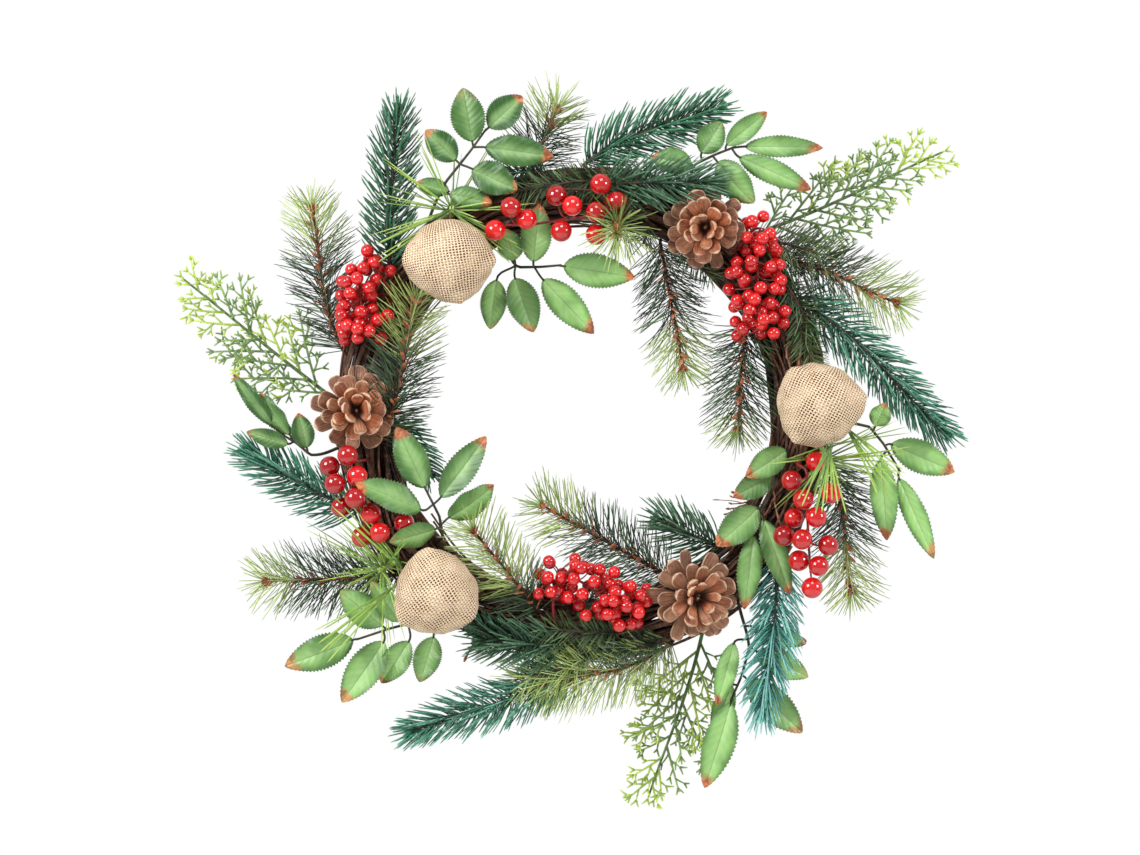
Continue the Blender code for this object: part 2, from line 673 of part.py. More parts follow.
def make_small_pick(name, start, knots, narrow, wide, seed):
    """A stem with small berries on short stalks all round it, in a dense bunch that widens to one end."""
    rng = random.Random(seed)
    line = clear_line(name, start, knots, BERRY_STEM_RADIUS)
    bare = max(line.nearest(place(*knots[0])) * 0.6, 3 * MM)
    count = int((line.length - 1.5 * MM - bare) / BUNCH_STEP) + 1
    places = [bare + BUNCH_STEP * k for k in range(count)]
    plant = Plant(line, BERRY_STEM_RADIUS, 5, places, 1.3 * MM, turn=math.radians(36))
    for index, distance in enumerate(places):
        heading = line.heading(distance)
        reach = (narrow + (wide - narrow) * index / (count - 1)) * MM
        outwards = [(f.calc_center_median() - line.at(distance)).normalized() for f in plant.bands[index]]
        for outward in outwards:
            for attempt in range(12):
                length = max(reach * rng.uniform(0.5, 1.0), SMALL_BERRY_RADIUS + 2.5 * MM)
                way = (outward + heading * rng.uniform(-0.4, 0.5) + FRONT * rng.uniform(0, 0.5)).normalized()
                if try_berry(plant, index, line.at(distance) + way * length, SMALL_BERRY_RADIUS):
                    break
    plant.finish(name, "berry", smooth_below=60)


def leaf_width(share):
    """Half the blade's width along it, as a share of its widest: a rounded oval with a pointed tip."""
    return math.sin(math.pi * share ** 0.85) ** 0.7


def leaf_surface(base, tip, width, facing, fold, arch):
    """The blade as a function from side, -1 to 1, and share of the length, 0 to 1, to a point."""
    length = (tip - base).length
    along = (tip - base).normalized()
    across = along.cross(facing).normalized()
    up = across.cross(along)

    def point(side, share, thickness=0.0):
        half = max(width / 2 * leaf_width(share), 0.5 * MM)
        rise = fold * abs(side) * half + arch * length * (0.25 - (share - 0.5) ** 2) + thickness
        return base + along * length * share + across * side * half + up * rise

    return point


def fitted_leaf(plant, base, tip, width, rng):
    """The blade's surface, lifted and rolled until it keeps clear of what is there, and points over it."""
    fold = rng.uniform(0.15, 0.4)
    arch = rng.uniform(0.05, 0.25)
    for lift in (0, 4, -4, 8, -8, 12, -12, 16, -16, 20, 24):
        for roll in (0, 25, -25, 45, -45):
            raised = tip + FRONT * lift * MM
            facing = Matrix.Rotation(math.radians(roll), 3, (raised - base).normalized()) @ FRONT
            surface = leaf_surface(base, raised, width * MM, facing, fold, arch)
            lines = [[surface(side / 3, share / 9) for share in range(1, 10)] for side in range(-3, 4)]
            ribs = [[surface(side / 3, share / 9) for side in range(-3, 4)] for share in range(1, 9)]
            if not all(is_clear(rib, 0) for rib in ribs):
                continue
            if all(plant.fits(line, LEAF_THICKNESS / 2) for line in lines):
                return surface, [p for line in lines for p in line[1:]]
    return None, None


def grow_leaf(body, face, surface):
    """Draws a face out into a stalk, and that into a folded blade with a toothed margin and a pointed tip."""
    for share, tooth in ((0, 1),) + LEAF_ROWS:
        thickness = LEAF_THICKNESS * (1.15 - 0.5 * share)
        corners = [
            surface(0, share, thickness / 2),
            surface(tooth, share),
            surface(0, share, -thickness / 2),
            surface(-tooth, share),
        ]
        way = surface(0, share + 0.1) - surface(0, share)
        face = draw_out(body, face, same_way_round(corners, way), blade=share > 0)[0]
    draw_to_point(body, face, surface(0, 1))


def make_leaf_spray(name, start, knots, leaves, seed):
    """A stem from the ring with toothed leaves on short stalks."""
    rng = random.Random(seed)
    line = clear_line(name, start, knots, LEAF_STEM_RADIUS)
    if line is None:
        return
    band = 1.5 * MM
    bases = [place(x, z, forward) for x, z, _, _, forward, _ in leaves]
    wanted = [line.nearest(base) - 2 * MM for base in bases]
    places = spread_places(wanted, 2 * band, 3 * MM, line.length - 2 * MM)
    plant = Plant(line, LEAF_STEM_RADIUS, 4, places, band, first_turn=math.radians(45))
    for base, (_, _, tip_x, tip_z, forward, width) in zip(bases, leaves):
        index = min(range(len(places)), key=lambda k: (line.at(places[k]) - base).length)
        stem_point = line.at(places[index])
        base.y = stem_point.y * 0.6 + base.y * 0.4
        tip = place(tip_x, tip_z, forward)
        if (base - stem_point).length < 3.5 * MM:
            base = stem_point + (tip - stem_point).normalized() * 3.5 * MM
        surface, beads = fitted_leaf(plant, base, tip, width, rng)
        stalk = between(stem_point, base)[1:]
        if surface and plant.bands[index] and is_clear(stalk, 0.8 * MM):
            grow_leaf(plant.body, plant.face(index, base - stem_point), surface)
            plant.beads += [(p, LEAF_THICKNESS / 2) for p in beads]
    plant.finish(name, "leaf", smooth_below=25)


def grow_needles(plant, needle, rng, shape):
    """Draws each face of each band out into a needle, shorter where it would hit something."""
    for index, distance in enumerate(plant.places):
        centre, heading = plant.line.at(distance), plant.line.heading(distance)
        share = distance / plant.line.length
        squeeze = needle["flat"] if abs(heading.dot(FRONT)) < 0.6 else 1
        for face in plant.bands[index]:
            root = face.calc_center_median()
            outward = root - centre
            outward = (outward - heading * outward.dot(heading)).normalized()
            lean = math.radians(needle["lean"] * (1.12 - 0.35 * share) + rng.uniform(-4, 4))
            way = heading * math.cos(lean) + outward * math.sin(lean)
            way.y *= squeeze
            if way.dot(outward) < 0.25:
                way += outward * 0.25
            way.normalize()
            length = needle["needle"] * shape(share) * rng.uniform(0.88, 1.05)
            for reach in (1.0, 0.75, 0.5, 0.3):
                tip = root + way * length * reach
                if is_clear(between(root + way * 0.8 * MM, tip), 0.45 * MM):
                    draw_to_point(plant.body, face, tip)
                    break


def make_needled(name, start, tip, needle, material, shape, seed, bare=5 * MM):
    """A stem with whorls of needles, and one more needle at its end."""
    line = clear_line(name, start, [tip], needle["stem"])
    if line is None:
        return
    rng = random.Random(seed)
    count = max(2, round((line.length - bare) / needle["step"]))
    step = (line.length - bare) / count
    places = [bare + step * (k + 0.5) for k in range(count)]
    plant = Plant(line, needle["stem"], 6, places, needle["band"], turn=math.radians(30))
    grow_needles(plant, needle, rng, shape)
    end = line.at(line.length)
    caps = [f for f in plant.body.faces if len(f.verts) == 6]
    cap = min(caps, key=lambda f: (f.calc_center_median() - end).length)
    heading = line.heading(line.length)
    point = end + heading * needle["needle"] * END_NEEDLE
    if is_clear(between(end + heading * MM, point), 0.4 * MM):
        draw_to_point(plant.body, cap, point)
    plant.finish(name, material)


def fir_shape(share):
    """A fir spray's needles: shorter towards its end."""
    return 1.0 - 0.35 * share ** 3


def pine_shape(share):
    """A pine spray's needles: longest near its end, in a tuft."""
    return 0.85 + 0.15 * share


def grass_shape(share):
    """A tuft's blades: all of one length."""
    return 1.0


def stretched(face, way, reach, scale):
    """The corners of a face moved along a direction, and drawn in or spread out across it."""
    middle = face.calc_center_median()
    corners = []
    for vert in face.verts:
        offset = vert.co - middle
        corners.append(middle + way * reach + (offset - way * offset.dot(way)) * scale)
    return corners


def grow_branch(body, face, way, reach, rng):
    """A flat cedar branch with forks along it, each a short twig to the left and one to the right."""
    sideways = way.cross(FRONT).normalized()
    forks = ((0.22, 0.62, 0.42), (0.24, 0.85, 0.36), (0.24, 0.85, 0.26))
    for share, scale, twig in forks[: 3 if reach > CEDAR_LONG_BRANCH else 2]:
        face = draw_out(body, face, stretched(face, way, reach * share, scale))[0]
        face, sides = draw_out(body, face, stretched(face, way, 1.2 * MM, 1))
        body.normal_update()
        for side in sides:
            if abs(side.normal.dot(sideways)) > 0.6:
                fork = (way + side.normal * rng.uniform(0.7, 0.95)).normalized()
                root = side.calc_center_median()
                tip = root + fork * reach * twig
                if is_clear(between(root + fork * MM, tip), 0.35 * MM):
                    draw_to_point(body, side, tip)
    draw_to_point(body, face, face.calc_center_median() + way * reach * 0.25)


def make_cedar(name, start, tip, seed):
    """A flat cedar frond, whose branches grow from the left and the right of its stem by turns."""
    rng = random.Random(seed)
    line = clear_line(name, start, [tip], CEDAR_STEM_RADIUS)
    if line is None:
        return
    count = int((line.length - CEDAR_BARE_STEM) / CEDAR_STEP)
    places = [CEDAR_BARE_STEM + CEDAR_STEP * k for k in range(count)]
    plant = Plant(line, CEDAR_STEM_RADIUS, 4, places, 1.7 * MM, thin=0.5, first_turn=math.radians(45))
    for index, distance in enumerate(places):
        heading = line.heading(distance)
        outward = heading.cross(FRONT).normalized() * (1 if index % 2 else -1)
        reach = CEDAR_BRANCH * (1 - 0.62 * distance / line.length) * rng.uniform(0.9, 1.08)
        way = (heading * 0.72 + outward * 0.68 + FRONT * rng.uniform(-0.12, 0.12)).normalized()
        root = line.at(distance)
        while reach > 12 * MM and not is_clear(between(root + way * 3 * MM, root + way * reach), 0.6 * MM):
            reach *= 0.7
        if reach > 12 * MM:
            grow_branch(plant.body, plant.face(index, outward), way, reach, rng)
    plant.finish(name, "cedar")


def main():
    start_scene()
    make_ring()
    for index, cone in enumerate(CONES):
        make_cone(f"pine_cone_{index + 1}", *cone, seed=index)
    for index, ball in enumerate(BALLS):
        make_ball(index + 1, *ball)
    for index, pick in enumerate(LARGE_PICKS):
        make_large_pick(f"large_berry_pick_{index + 1}", *pick)
    for index, pick in enumerate(SMALL_PICKS):
        make_small_pick(f"small_berry_pick_{index + 1}", *pick, seed=40 + index)
    for index, spray in enumerate(LEAF_SPRAYS):
        make_leaf_spray(f"leaf_spray_{index + 1}", *spray, seed=60 + index)
    for index, tuft in enumerate(GRASS_TUFTS):
        name = f"grass_tuft_{index + 1}"
        make_needled(name, *tuft, GRASS, "grass", grass_shape, seed=80 + index, bare=2 * MM)
    for index, spray in enumerate(FIR_SPRAYS):
        make_needled(f"fir_spray_{index + 1}", *spray, FIR, "fir", fir_shape, seed=100 + index)
    for index, spray in enumerate(PINE_SPRAYS):
        make_needled(f"pine_spray_{index + 1}", *spray, PINE, "pine", pine_shape, seed=200 + index)
    for index, spray in enumerate(CEDAR_SPRAYS):
        make_cedar(f"cedar_spray_{index + 1}", *spray, seed=300 + index)
    ring_centre.location = (0, 0, -HOOK_DROP)


main()
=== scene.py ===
"""Looks of a wicker Christmas door wreath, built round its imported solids.

Each fine piece stands for a solid and lies where the solid lies. A stem is the one of its possible lines that
runs deepest inside its solid, a berry is where the facets of its solid point, and needles follow the rule by
which those of the solid are placed, but are finer and many more.

Layouts are in the ring's own frame, in millimetres: across is +X, up is +Z, and forward, out of the door,
is -Y.
"""

import math
import random
from functools import lru_cache
from itertools import product

import bpy
from mathutils import Matrix, Vector
from mathutils.bvhtree import BVHTree
from mathutils.geometry import interpolate_bezier
from mathutils.noise import noise


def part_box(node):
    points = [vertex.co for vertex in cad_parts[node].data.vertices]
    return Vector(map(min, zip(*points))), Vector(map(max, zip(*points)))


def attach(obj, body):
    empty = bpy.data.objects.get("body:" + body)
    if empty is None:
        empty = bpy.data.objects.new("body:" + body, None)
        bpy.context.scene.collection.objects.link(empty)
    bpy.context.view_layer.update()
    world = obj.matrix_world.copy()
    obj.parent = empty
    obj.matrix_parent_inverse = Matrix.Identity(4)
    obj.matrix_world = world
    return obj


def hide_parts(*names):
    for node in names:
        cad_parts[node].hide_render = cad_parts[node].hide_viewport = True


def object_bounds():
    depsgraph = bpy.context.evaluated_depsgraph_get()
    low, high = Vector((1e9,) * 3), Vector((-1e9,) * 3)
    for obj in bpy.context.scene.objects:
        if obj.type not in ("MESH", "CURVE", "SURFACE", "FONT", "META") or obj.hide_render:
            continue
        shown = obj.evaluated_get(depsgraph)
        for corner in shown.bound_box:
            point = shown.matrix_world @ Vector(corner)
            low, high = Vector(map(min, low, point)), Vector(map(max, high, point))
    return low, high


MM = 0.001
FRONT = Vector((0, -1, 0))
GAP = 0.35 * MM  # between the ring and what is seated on it
GOLDEN_ANGLE = math.radians(137.508)
SHARP_EDGE = math.radians(62)

# The seed of each kind's random numbers, to which a piece adds its own number
SEEDS = {"leaf_spray": 59, "vine": 500, "core": 600, "cone": 700, "frays": 750, "large_berry_pick": 800,
         "small_berry_pick": 820, "leaves": 850, "fir_spray": 900, "pine_spray": 930, "grass_tuft": 960,
         "grass_fans": 970, "cedar_spray": 980, "sprig": 1000, "loose_twigs": 1040}

# The ring
RING_RADIUS = 142 * MM
HOOK_DROP = 121.9 * MM  # from the hook to the ring's centre
VINE_COUNT = 8
LAPS_PER_VINE = 1.5
POINTS_PER_LAP = 15  # of a solid's vine
FINE_POINTS_PER_LAP = 150
VINE_LAYER_RADIUS = 16.2 * MM
TWISTS_PER_LAP = 1 + 5 / 12
TWIGS_PER_VINE = 4
TWIG_RADIUS = 1.6 * MM
CORE_TWIGS = 12
CORE_TWIG_RADIUS = 2.5 * MM
CORE_LAYERS = (4 * MM, 8.6 * MM)  # the first holds every third twig
CORE_POINTS_PER_LAP = 100
STRAY_TWIGS = 64
STRAY_LAYER = 20.4 * MM
STRAY_STEPS = 34
LOOSE_TWIG_POINTS = 14

# Pine cones
CONE_HEIGHT = 27 * MM
CONE_SCALES = 37
SCALE_LENGTH = 26.5 * MM
SCALE_WIDTH = 11.4 * MM

# The radius of a cone's core in millimetres, at some shares of the cone's height
CONE_CORE = ((0, 5), (0.25, 5.5), (0.4, 3.6), (0.5, 2.2), (0.56, 1.6), (0.6, 0.4))

# A scale's rings, as shares of its length, and the corners of each, as the side and the face
SCALE_RINGS = (0, 0.15, 0.3, 0.45, 0.6, 0.72, 0.8, 0.86, 0.91, 0.95, 0.98, 1)
SCALE_CORNERS = ((-1, 0), (-0.86, 1), (-0.45, 1), (0, 1), (0.45, 1), (0.86, 1), (1, 0),
                 (0.7, -1), (0.3, -1), (-0.3, -1), (-0.7, -1))

# Burlap balls
BALL_RADIUS = 27 * MM
FOAM_RADIUS = 24 * MM
CLOTH_THICKNESS = 0.8 * MM
CLOTH_ROWS = 64
CLOTH_COLUMNS = 120
CLOTH_BACK = math.radians(158)  # how far round its ball the cloth reaches
GATHER_FROM = math.radians(95)
GATHER_FOLDS = 11
THREAD_PITCH = 1.8 * MM
WARP_SPREAD = 0.84
FRAYED_THREADS = 90

# A frayed thread's radius in millimetres, at some shares of its length
FRAY_RADII = ((0, 0.16), (0.3, 0.16), (0.65, 0.13), (1, 0.08))

# Berries. Stalk is a stalk's radius, back is how far it starts behind its berry, vary is the range of the
# berries' size, mesh their rows and columns, dent the depth of a navel, and tones the lowest and their range.
BERRY_STEM_RADIUS = 1.0 * MM
BERRIES = {
    "large": {"radius": 6.6 * MM, "stalk": 0.75 * MM, "back": 6 * MM, "vary": (0.97, 1.03),
              "mesh": (16, 26), "dent": 0.03, "tones": (0, 1)},
    "small": {"radius": 4.1 * MM, "stalk": 0.55 * MM, "back": 5 * MM, "vary": (0.94, 1.04),
              "mesh": (12, 18), "dent": 0.04, "tones": (0.45, 0.55)},
}
CROWDING_TRIES = 9000

# The solids' berries are icosahedra. For a radius of 1, the length of an edge, and how far from the centre a
# face lies.
FACET_EDGE = 1.0515
FACET_INSET = 0.7947

# Leaves. The rows are shares of the length at which the solid has a tooth, and how far the tooth stands out.
LEAF_STEM_RADIUS = 1.0 * MM
LEAF_STALK_RADIUS = 0.8 * MM
LEAF_ROWS = ((0.15, 1.0), (0.32, 0.9), (0.48, 1.0), (0.78, 0.95))
LEAF_TEETH = 20
LEAF_COLUMNS = (-1, -0.86, -0.6, -0.3, -0.08, 0, 0.08, 0.3, 0.6, 0.86, 1)
SHORTEST_STALK = 3.5 * MM

# The ways in which a solid's leaf may lie: how far its stalk shifts along the stem and how far its tip is
# lifted, in millimetres, and its roll in degrees
LEAF_SHIFTS = (0, -1.5, 1.5, -3, 3)
LEAF_LIFTS = (0, 4, -4, 8, -8, 12, -12, 16, -16, 20, 24)
LEAF_ROLLS = (0, 25, -25, 45, -45)

# Needled stems. Lean is the angle between needle and stem in degrees, at its start and its end, step the
# distance along the stem from one needle to the next, and flat squeezes the spray front to back. Hook is how
# needles curve, front the share kept of those that point forward, and sparse the share left out towards the
# end. Shape is their length along the spray. End is the brush at the tip: how many needles, their lean, by
# how much it grows, their length, its range, and their curl.
FIR = {"needle": 21 * MM, "lean": (66, 34), "spread": 8, "step": 0.36 * MM, "stem": 1.2 * MM,
       "width": 0.62 * MM, "thin": 0.75, "flat": 0.55, "sides": 5, "hook": (0.2, 0.55), "front": 0.62,
       "sparse": 0.1, "shape": lambda share: 1.0 - 0.35 * share ** 4,
       "end": (14, 0.15, 0.5, 0.42, (0.8, 1.0), 0.05)}
PINE = {"needle": 31 * MM, "lean": (64, 54), "spread": 13, "step": 0.21 * MM, "stem": 1.1 * MM,
        "width": 0.36 * MM, "thin": 1.0, "flat": 0.6, "sides": 3, "hook": (-0.05, 0.12), "front": 0.55,
        "sparse": 0.55, "shape": lambda share: 0.85 + 0.15 * share - 0.3 * share ** 8,
        "end": (18, 0.3, 1.2, 0.55, (0.75, 1.2), 0.04)}
NEEDLES_FROM = 3 * MM
NEEDLE_STEM_STEP = 2.5 * MM
SPRIG_STEM_RADIUS = 0.9 * MM
BRACTS_FROM = 6 * MM
END_BRACTS = 9

# How a needle that meets a neighbour is tried again: its lift to the front, and the share of its length
NEEDLE_TRIES = ((0, 1), (0.5, 1), (0, 0.75), (1.0, 0.95), (0, 0.5), (0.8, 0.6), (0, 0.3))

# The names of soft solids start with these, and needles may run through them
SOFT_NAMES = ("fir", "pine_s", "cedar", "grass")

# Grass: its stem, and its width at some shares of a blade's length, in a tuft and in a fan
GRASS_STEM_RADIUS = 1.8 * MM
GRASS_WIDTH = 0.56 * MM
BLADE_REACH = 8 * MM  # a solid's corners farther than this from its stem are the tips of its blades
TUFT_BLADE = ((0, 0.6), (0.25, 1), (0.6, 0.9), (0.85, 0.55), (1, 0))
FAN_BLADE = ((0, 0.7), (0.3, 1), (0.65, 0.95), (0.94, 0.8), (1, 0))

# Cedar fronds
CEDAR_STEM_RADIUS = 1.3 * MM
CEDAR_TWIG_RADIUS = 0.72 * MM
CEDAR_TIP_RADIUS = 0.76 * MM
CEDAR_BARE_STEM = 14 * MM
CEDAR_STEP = 7.2 * MM
CEDAR_BRANCH = 54 * MM

# The step along the stem of a pick or a leaf spray
STEM_STEP = 3 * MM

# The lines that a stem may take: how far its start shifts along the ring and round the bundle in degrees, how
# far it bows forward in millimetres and sideways as a share of its span, and which of its points are tested
STEM_SHIFTS = (0, 4, -4, 8, -8, 12, -12)
STEM_TURNS = (0, 25, -25, 50, -50)
STEM_BOWS = (0, 3, -3, 6, -6, 10, -10, 15, -15, 20, 26)
STEM_SWINGS = (0, 0.12, -0.12, 0.25, -0.25)
STEM_POINTS = 24
STEM_TESTS = (12, 6, 18, 3, 9, 15, 21)

# How much deeper in its solid a later choice of line must lie to take the place of an earlier one
LINE_MARGIN = 0.6 * MM

# How far fine pieces may stand out of the solids' box
LOOSE = Vector((5, 1.5, 5)) * MM

# A start on the ring is a clock angle in degrees, and the side of the bundle: 0 faces outwards, 90 forward,
# 180 the hole, 270 the door.

# Pine cones: size, lean sideways and upwards in degrees, and how wide and how worn the scales are
CONES = ((1.0, -8, 8, 1.0, 0.0), (1.02, 10, -4, 1.0, 0.5), (1.13, 14, 4, 0.82, 1.0))

# Burlap balls: the clock angles at which the cloth is pinched into a corner, and the turn of its weave
BALLS = (((165, 270, 92), 0.15), ((215, 320, 80), -0.5), ((120, 350, 230), 0.6))

# Large berry picks: start, and stem
LARGE_PICKS = (
    ((5, 95), ((14, 126, 28), (-10, 124, 29), (-34, 120, 29), (-50, 120, 29))),
    ((103, 95), ((143, -38, 29), (143, -60, 29), (144, -84, 30), (145, -102, 31))),
    ((258, 95), ((-150, -34, 29), (-148, -54, 29), (-138, -70, 29), (-120, -74, 29))),
)

# Small berry picks: start, stem, how far the berries stand out at its start, its widest and its end, and
# how many there are
SMALL_PICKS = (
    ((43, 95), ((113, 118, 28), (111, 98, 29), (112, 76, 28), (114, 52, 26)), (8, 23, 16), 54),
    ((187, 95), ((-14, -101, 27), (2, -110, 28), (20, -123, 28), (38, -127, 28)), (13, 20, 14), 62),
    ((300, 95), ((-141, 98, 27), (-143, 80, 28), (-141, 62, 28), (-145, 46, 28)), (9, 17, 15), 46),
)

# Leaf sprays: start, stem, then each leaf as the base and the tip across and up, how far forward it lies, and
# its width
LEAF_SPRAYS = (
    ((318, 50), ((-88, 148, 24), (-72, 168, 25), (-62, 182, 24)),
     ((-70, 172, -77, 208, 26, 22), (-60, 180, -39, 203, 24, 20), (-80, 162, -101, 181, 26, 18),
      (-63, 170, -19, 164, 28, 20), (-71, 156, -42, 142, 32, 21), (-86, 142, -107, 148, 24, 12),
      (-86, 140, -58, 134, 30, 15))),
    ((336, 150), ((-42, 94, 12), (-27, 94, 16), (-14, 95, 18)),
     ((-32, 97, -28, 134, 28, 20), (-13, 95, 33, 87, 22, 22), (-26, 86, 7, 51, 16, 20),
      (-44, 87, -32, 52, 12, 21), (-56, 86, -60, 54, 10, 17), (-44, 98, -50, 118, 22, 17))),
    ((26, 40), ((72, 160, 18), (85, 166, 20), (98, 171, 20)),
     ((76, 167, 89, 187, 20, 18), (92, 172, 118, 193, 22, 14), (104, 171, 154, 170, 22, 14),
      (100, 164, 146, 143, 26, 16), (86, 161, 109, 134, 28, 22), (70, 160, 44, 165, 14, 17))),
    ((94, 60), ((184, -9, 20), (193, -20, 20), (204, -38, 18)),
     ((189, -12, 194, 6, 24, 14), (198, -20, 239, -38, 18, 21), (191, -30, 195, -82, 22, 18),
      (203, -42, 226, -94, 16, 15))),
    ((108, 130), ((124, -42, 25), (118, -56, 25), (111, -70, 24)),
     ((130, -24, 104, -41, 30, 18), (121, -40, 96, -54, 27, 17), (112, -61, 85, -85, 27, 21),
      (109, -78, 103, -126, 26, 16), (115, -68, 132, -116, 32, 16))),
    ((140, 40), ((107, -152, 14), (102, -170, 14), (95, -186, 14)),
     ((97, -148, 86, -188, 18, 14), (95, -187, 78, -241, 20, 21), (106, -172, 142, -207, 6, 22),
      (112, -154, 146, -171, 6, 18), (110, -138, 145, -148, 6, 17), (96, -176, 84, -206, 8, 14))),
    ((222, 60), ((-106, -134, 16), (-125, -139, 16), (-146, -146, 16)),
     ((-128, -141, -156, -114, 22, 21), (-118, -134, -136, -108, 24, 15), (-148, -146, -192, -163, 18, 22),
      (-128, -147, -155, -186, 20, 22), (-112, -147, -130, -174, 16, 18), (-96, -144, -105, -173, 20, 18))),
    ((228, 140), ((-90, -78, 26), (-92, -66, 28), (-100, -50, 30)),
     ((-101, -48, -119, -9, 32, 21), (-91, -54, -62, -15, 28, 19), (-103, -62, -144, -44, 48, 20),
      (-86, -67, -57, -46, 26, 19), (-94, -74, -123, -82, 44, 17))),
    ((262, 20), ((-176, -27, 14), (-184, -20, 14), (-197, -12, 14)),
     ((-200, -8, -225, 25, 18, 11), (-189, -14, -208, 13, 16, 14), (-178, -24, -183, 0, 20, 15),
      (-190, -20, -216, -12, 20, 12))),
)

# How light the leaves of each spray are: partly their own colour, partly painted shade for sprays that lie
# in shadow
LEAF_TONES = (0.1, 0.8, 0.5, 1.0, 0.5, 1.0, 0.6, 0.3, 0.2)

# Fir sprays: start, tip, and colour
FIR_SPRAYS = (
    ((306, 50), (-120, 193, 10), "fir_dark"),
    ((0, 20), (86, 197, 12), "fir_green"),
    ((61, 40), (232, -12, 16), "fir_teal"),
    ((127, 40), (115, -191, 24), "fir_pale"),
    ((180, 20), (-110, -206, 8), "fir_bright"),
    ((246, 30), (-216, -26, 10), "fir_teal"),
    ((4, 78), (80, 147, 30), "fir_deep"),
    ((184, 70), (-64, -146, 26), "fir_deep"),
    ((134, 150), (51, -69, 14), "fir_deep"),
)

# Pine sprays: start, tip, and the share of the stem from which the needles turn yellow-green
PINE_SPRAYS = (
    ((347, 20), (-17, 198, -4), 0.6),
    ((284, 20), (-176, 133, 2), 0.66),
    ((262, 110), (-107, 72, 32), 0.6),
    ((228, 10), (-206, -109, 0), 0.72),
    ((192, 120), (-70, -75, 32), 0.25),
    ((152, 170), (-26, -60, 8), 0.65),
    ((158, 20), (-25, -175, 12), 0.0),
    ((12, 120), (21, 113, 52), 0.4),
    ((24, 160), (65, 29, 8), 0.6),
    ((61, 150), (100, -10, 10), 0.8),
    ((50, 30), (202, 71, 14), 0.55),
    ((100, 15), (173, -115, 10), 0.6),
)

# Cedar sprays: start, tip, and the share of lime branches near the start
CEDAR_SPRAYS = (
    ((43, 330), (234, 170, -6), 0.04),
    ((272, 340), (-260, 87, -6), 0.6),
    ((150, 340), (43, -249, -4), 0.5),
)

# Grass tufts: start, and tip of the stem
GRASS_TUFTS = (
    ((326, 60), (-84, 131, 30)),
    ((97, 60), (157, -33, 26)),
    ((231, 60), (-131, -101, 26)),
)

# Short sprigs that fill the gaps between the sprays: start, tip, whether fir or pine, colour or how yellow,
# and how long the needles are
SPRIGS = (
    ((4, 70), (-46, 141, 25), "pine", 0.1, 0.5),
    ((352, 40), (-58, 153, 16), "fir", "fir_dark", 0.6),
    ((18, 60), (-10, 148, 20), "pine", 0.1, 0.6),
    ((268, 150), (-96, -42, 12), "fir", "fir_green", 0.7),
    ((160, 50), (-2, -154, 18), "pine", 0.0, 0.62),
    ((170, 85), (-26, -138, 24), "pine", 0.1, 0.5),
    ((182, 120), (14, -108, 16), "pine", 0.0, 0.36),
    ((178, 40), (-44, -172, 18), "pine", 0.9, 0.72),
    ((196, 60), (-84, -128, 24), "fir", "fir_dark", 0.55),
    ((55, 55), (148, 50, 20), "pine", 0.1, 0.62),
    ((66, 70), (148, 26, 26), "pine", 0.2, 0.5),
    ((44, 50), (162, 100, 16), "pine", 0.2, 0.7),
    ((30, 150), (84, 88, 14), "pine", 0.1, 0.42),
    ((20, 130), (38, 108, 16), "pine", 0.2, 0.5),
)

# Fans of grass that hang from a ball's edge or a tuft: foot, middle tip, spread in degrees, and blades
GRASS_FANS = (
    ((156, -20, 50), (147, -62, 64), 46, 11),
    ((168, -12, 46), (196, -48, 54), 30, 8),
    ((-120, -110, 44), (-168, -148, 56), 20, 7),
    ((-116, -97, 42), (-160, -50, 44), 12, 5),
    ((-83, 129, 32), (-44, 98, 38), 16, 4),
    ((-85, 129, 32), (-134, 100, 36), 10, 3),
)

# Loose twig ends: start, then points along it, and its radius
LOOSE_TWIGS = (
    ((115, 160), ((106, -50, 8), (98, -54, 10)), 0.7),
    ((116, 175), ((104, -54, 4), (96, -51, 6)), 0.75),
    ((117, 170), ((104, -60, 6), (94, -58, 10)), 0.6),
    ((115, 150), ((107, -49, 12), (101, -47, 14)), 0.65),
    ((118, 185), ((101, -62, 0), (93, -62, 2)), 0.7),
    ((114, 178), ((108, -46, 2), (102, -45, 6)), 0.6),
    ((117, 168), ((104, -56, 8), (95, -54, 8)), 0.5),
    ((119, 180), ((99, -64, 4), (91, -66, 6)), 0.55),
    ((117, 182), ((103, -58, 4), (94, -52, 5), (84, -56, 4)), 0.35),
    ((104, 80), ((124, -48, 24), (112, -74, 24)), 0.8),
    ((107, 100), ((116, -42, 25), (127, -72, 24)), 0.75),
    ((110, 110), ((112, -50, 22), (118, -78, 22)), 0.7),
    ((207, 40), ((-68, -146, 14), (-77, -160, 14)), 0.9),
    ((66, 60), ((142, 46, 24), (136, 26, 28)), 0.9),
    ((72, 100), ((128, 40, 24), (138, 10, 28)), 0.8),
)

# The stage. The camera looks squarely at the door, a little below and left of the ring's centre.
CAMERA_DISTANCE = 1.7
CAMERA_LENS = 82.6
CAMERA_ACROSS = -8.45 * MM
CAMERA_UP = -9.4 * MM
FLOOR_DROP = 0.62
FLOOR_RADIUS = 1.6
FLOOR_CORNERS = 96

# Softboxes: azimuth and elevation in degrees, distance, size and power
SOFTBOXES = (
    ("softbox_left", -50, 22, 1.5, 0.66, 18),
    ("softbox_right", 60, 12, 1.5, 0.44, 10),
    ("softbox_top", 4, 52, 1.4, 0.5, 6),
)
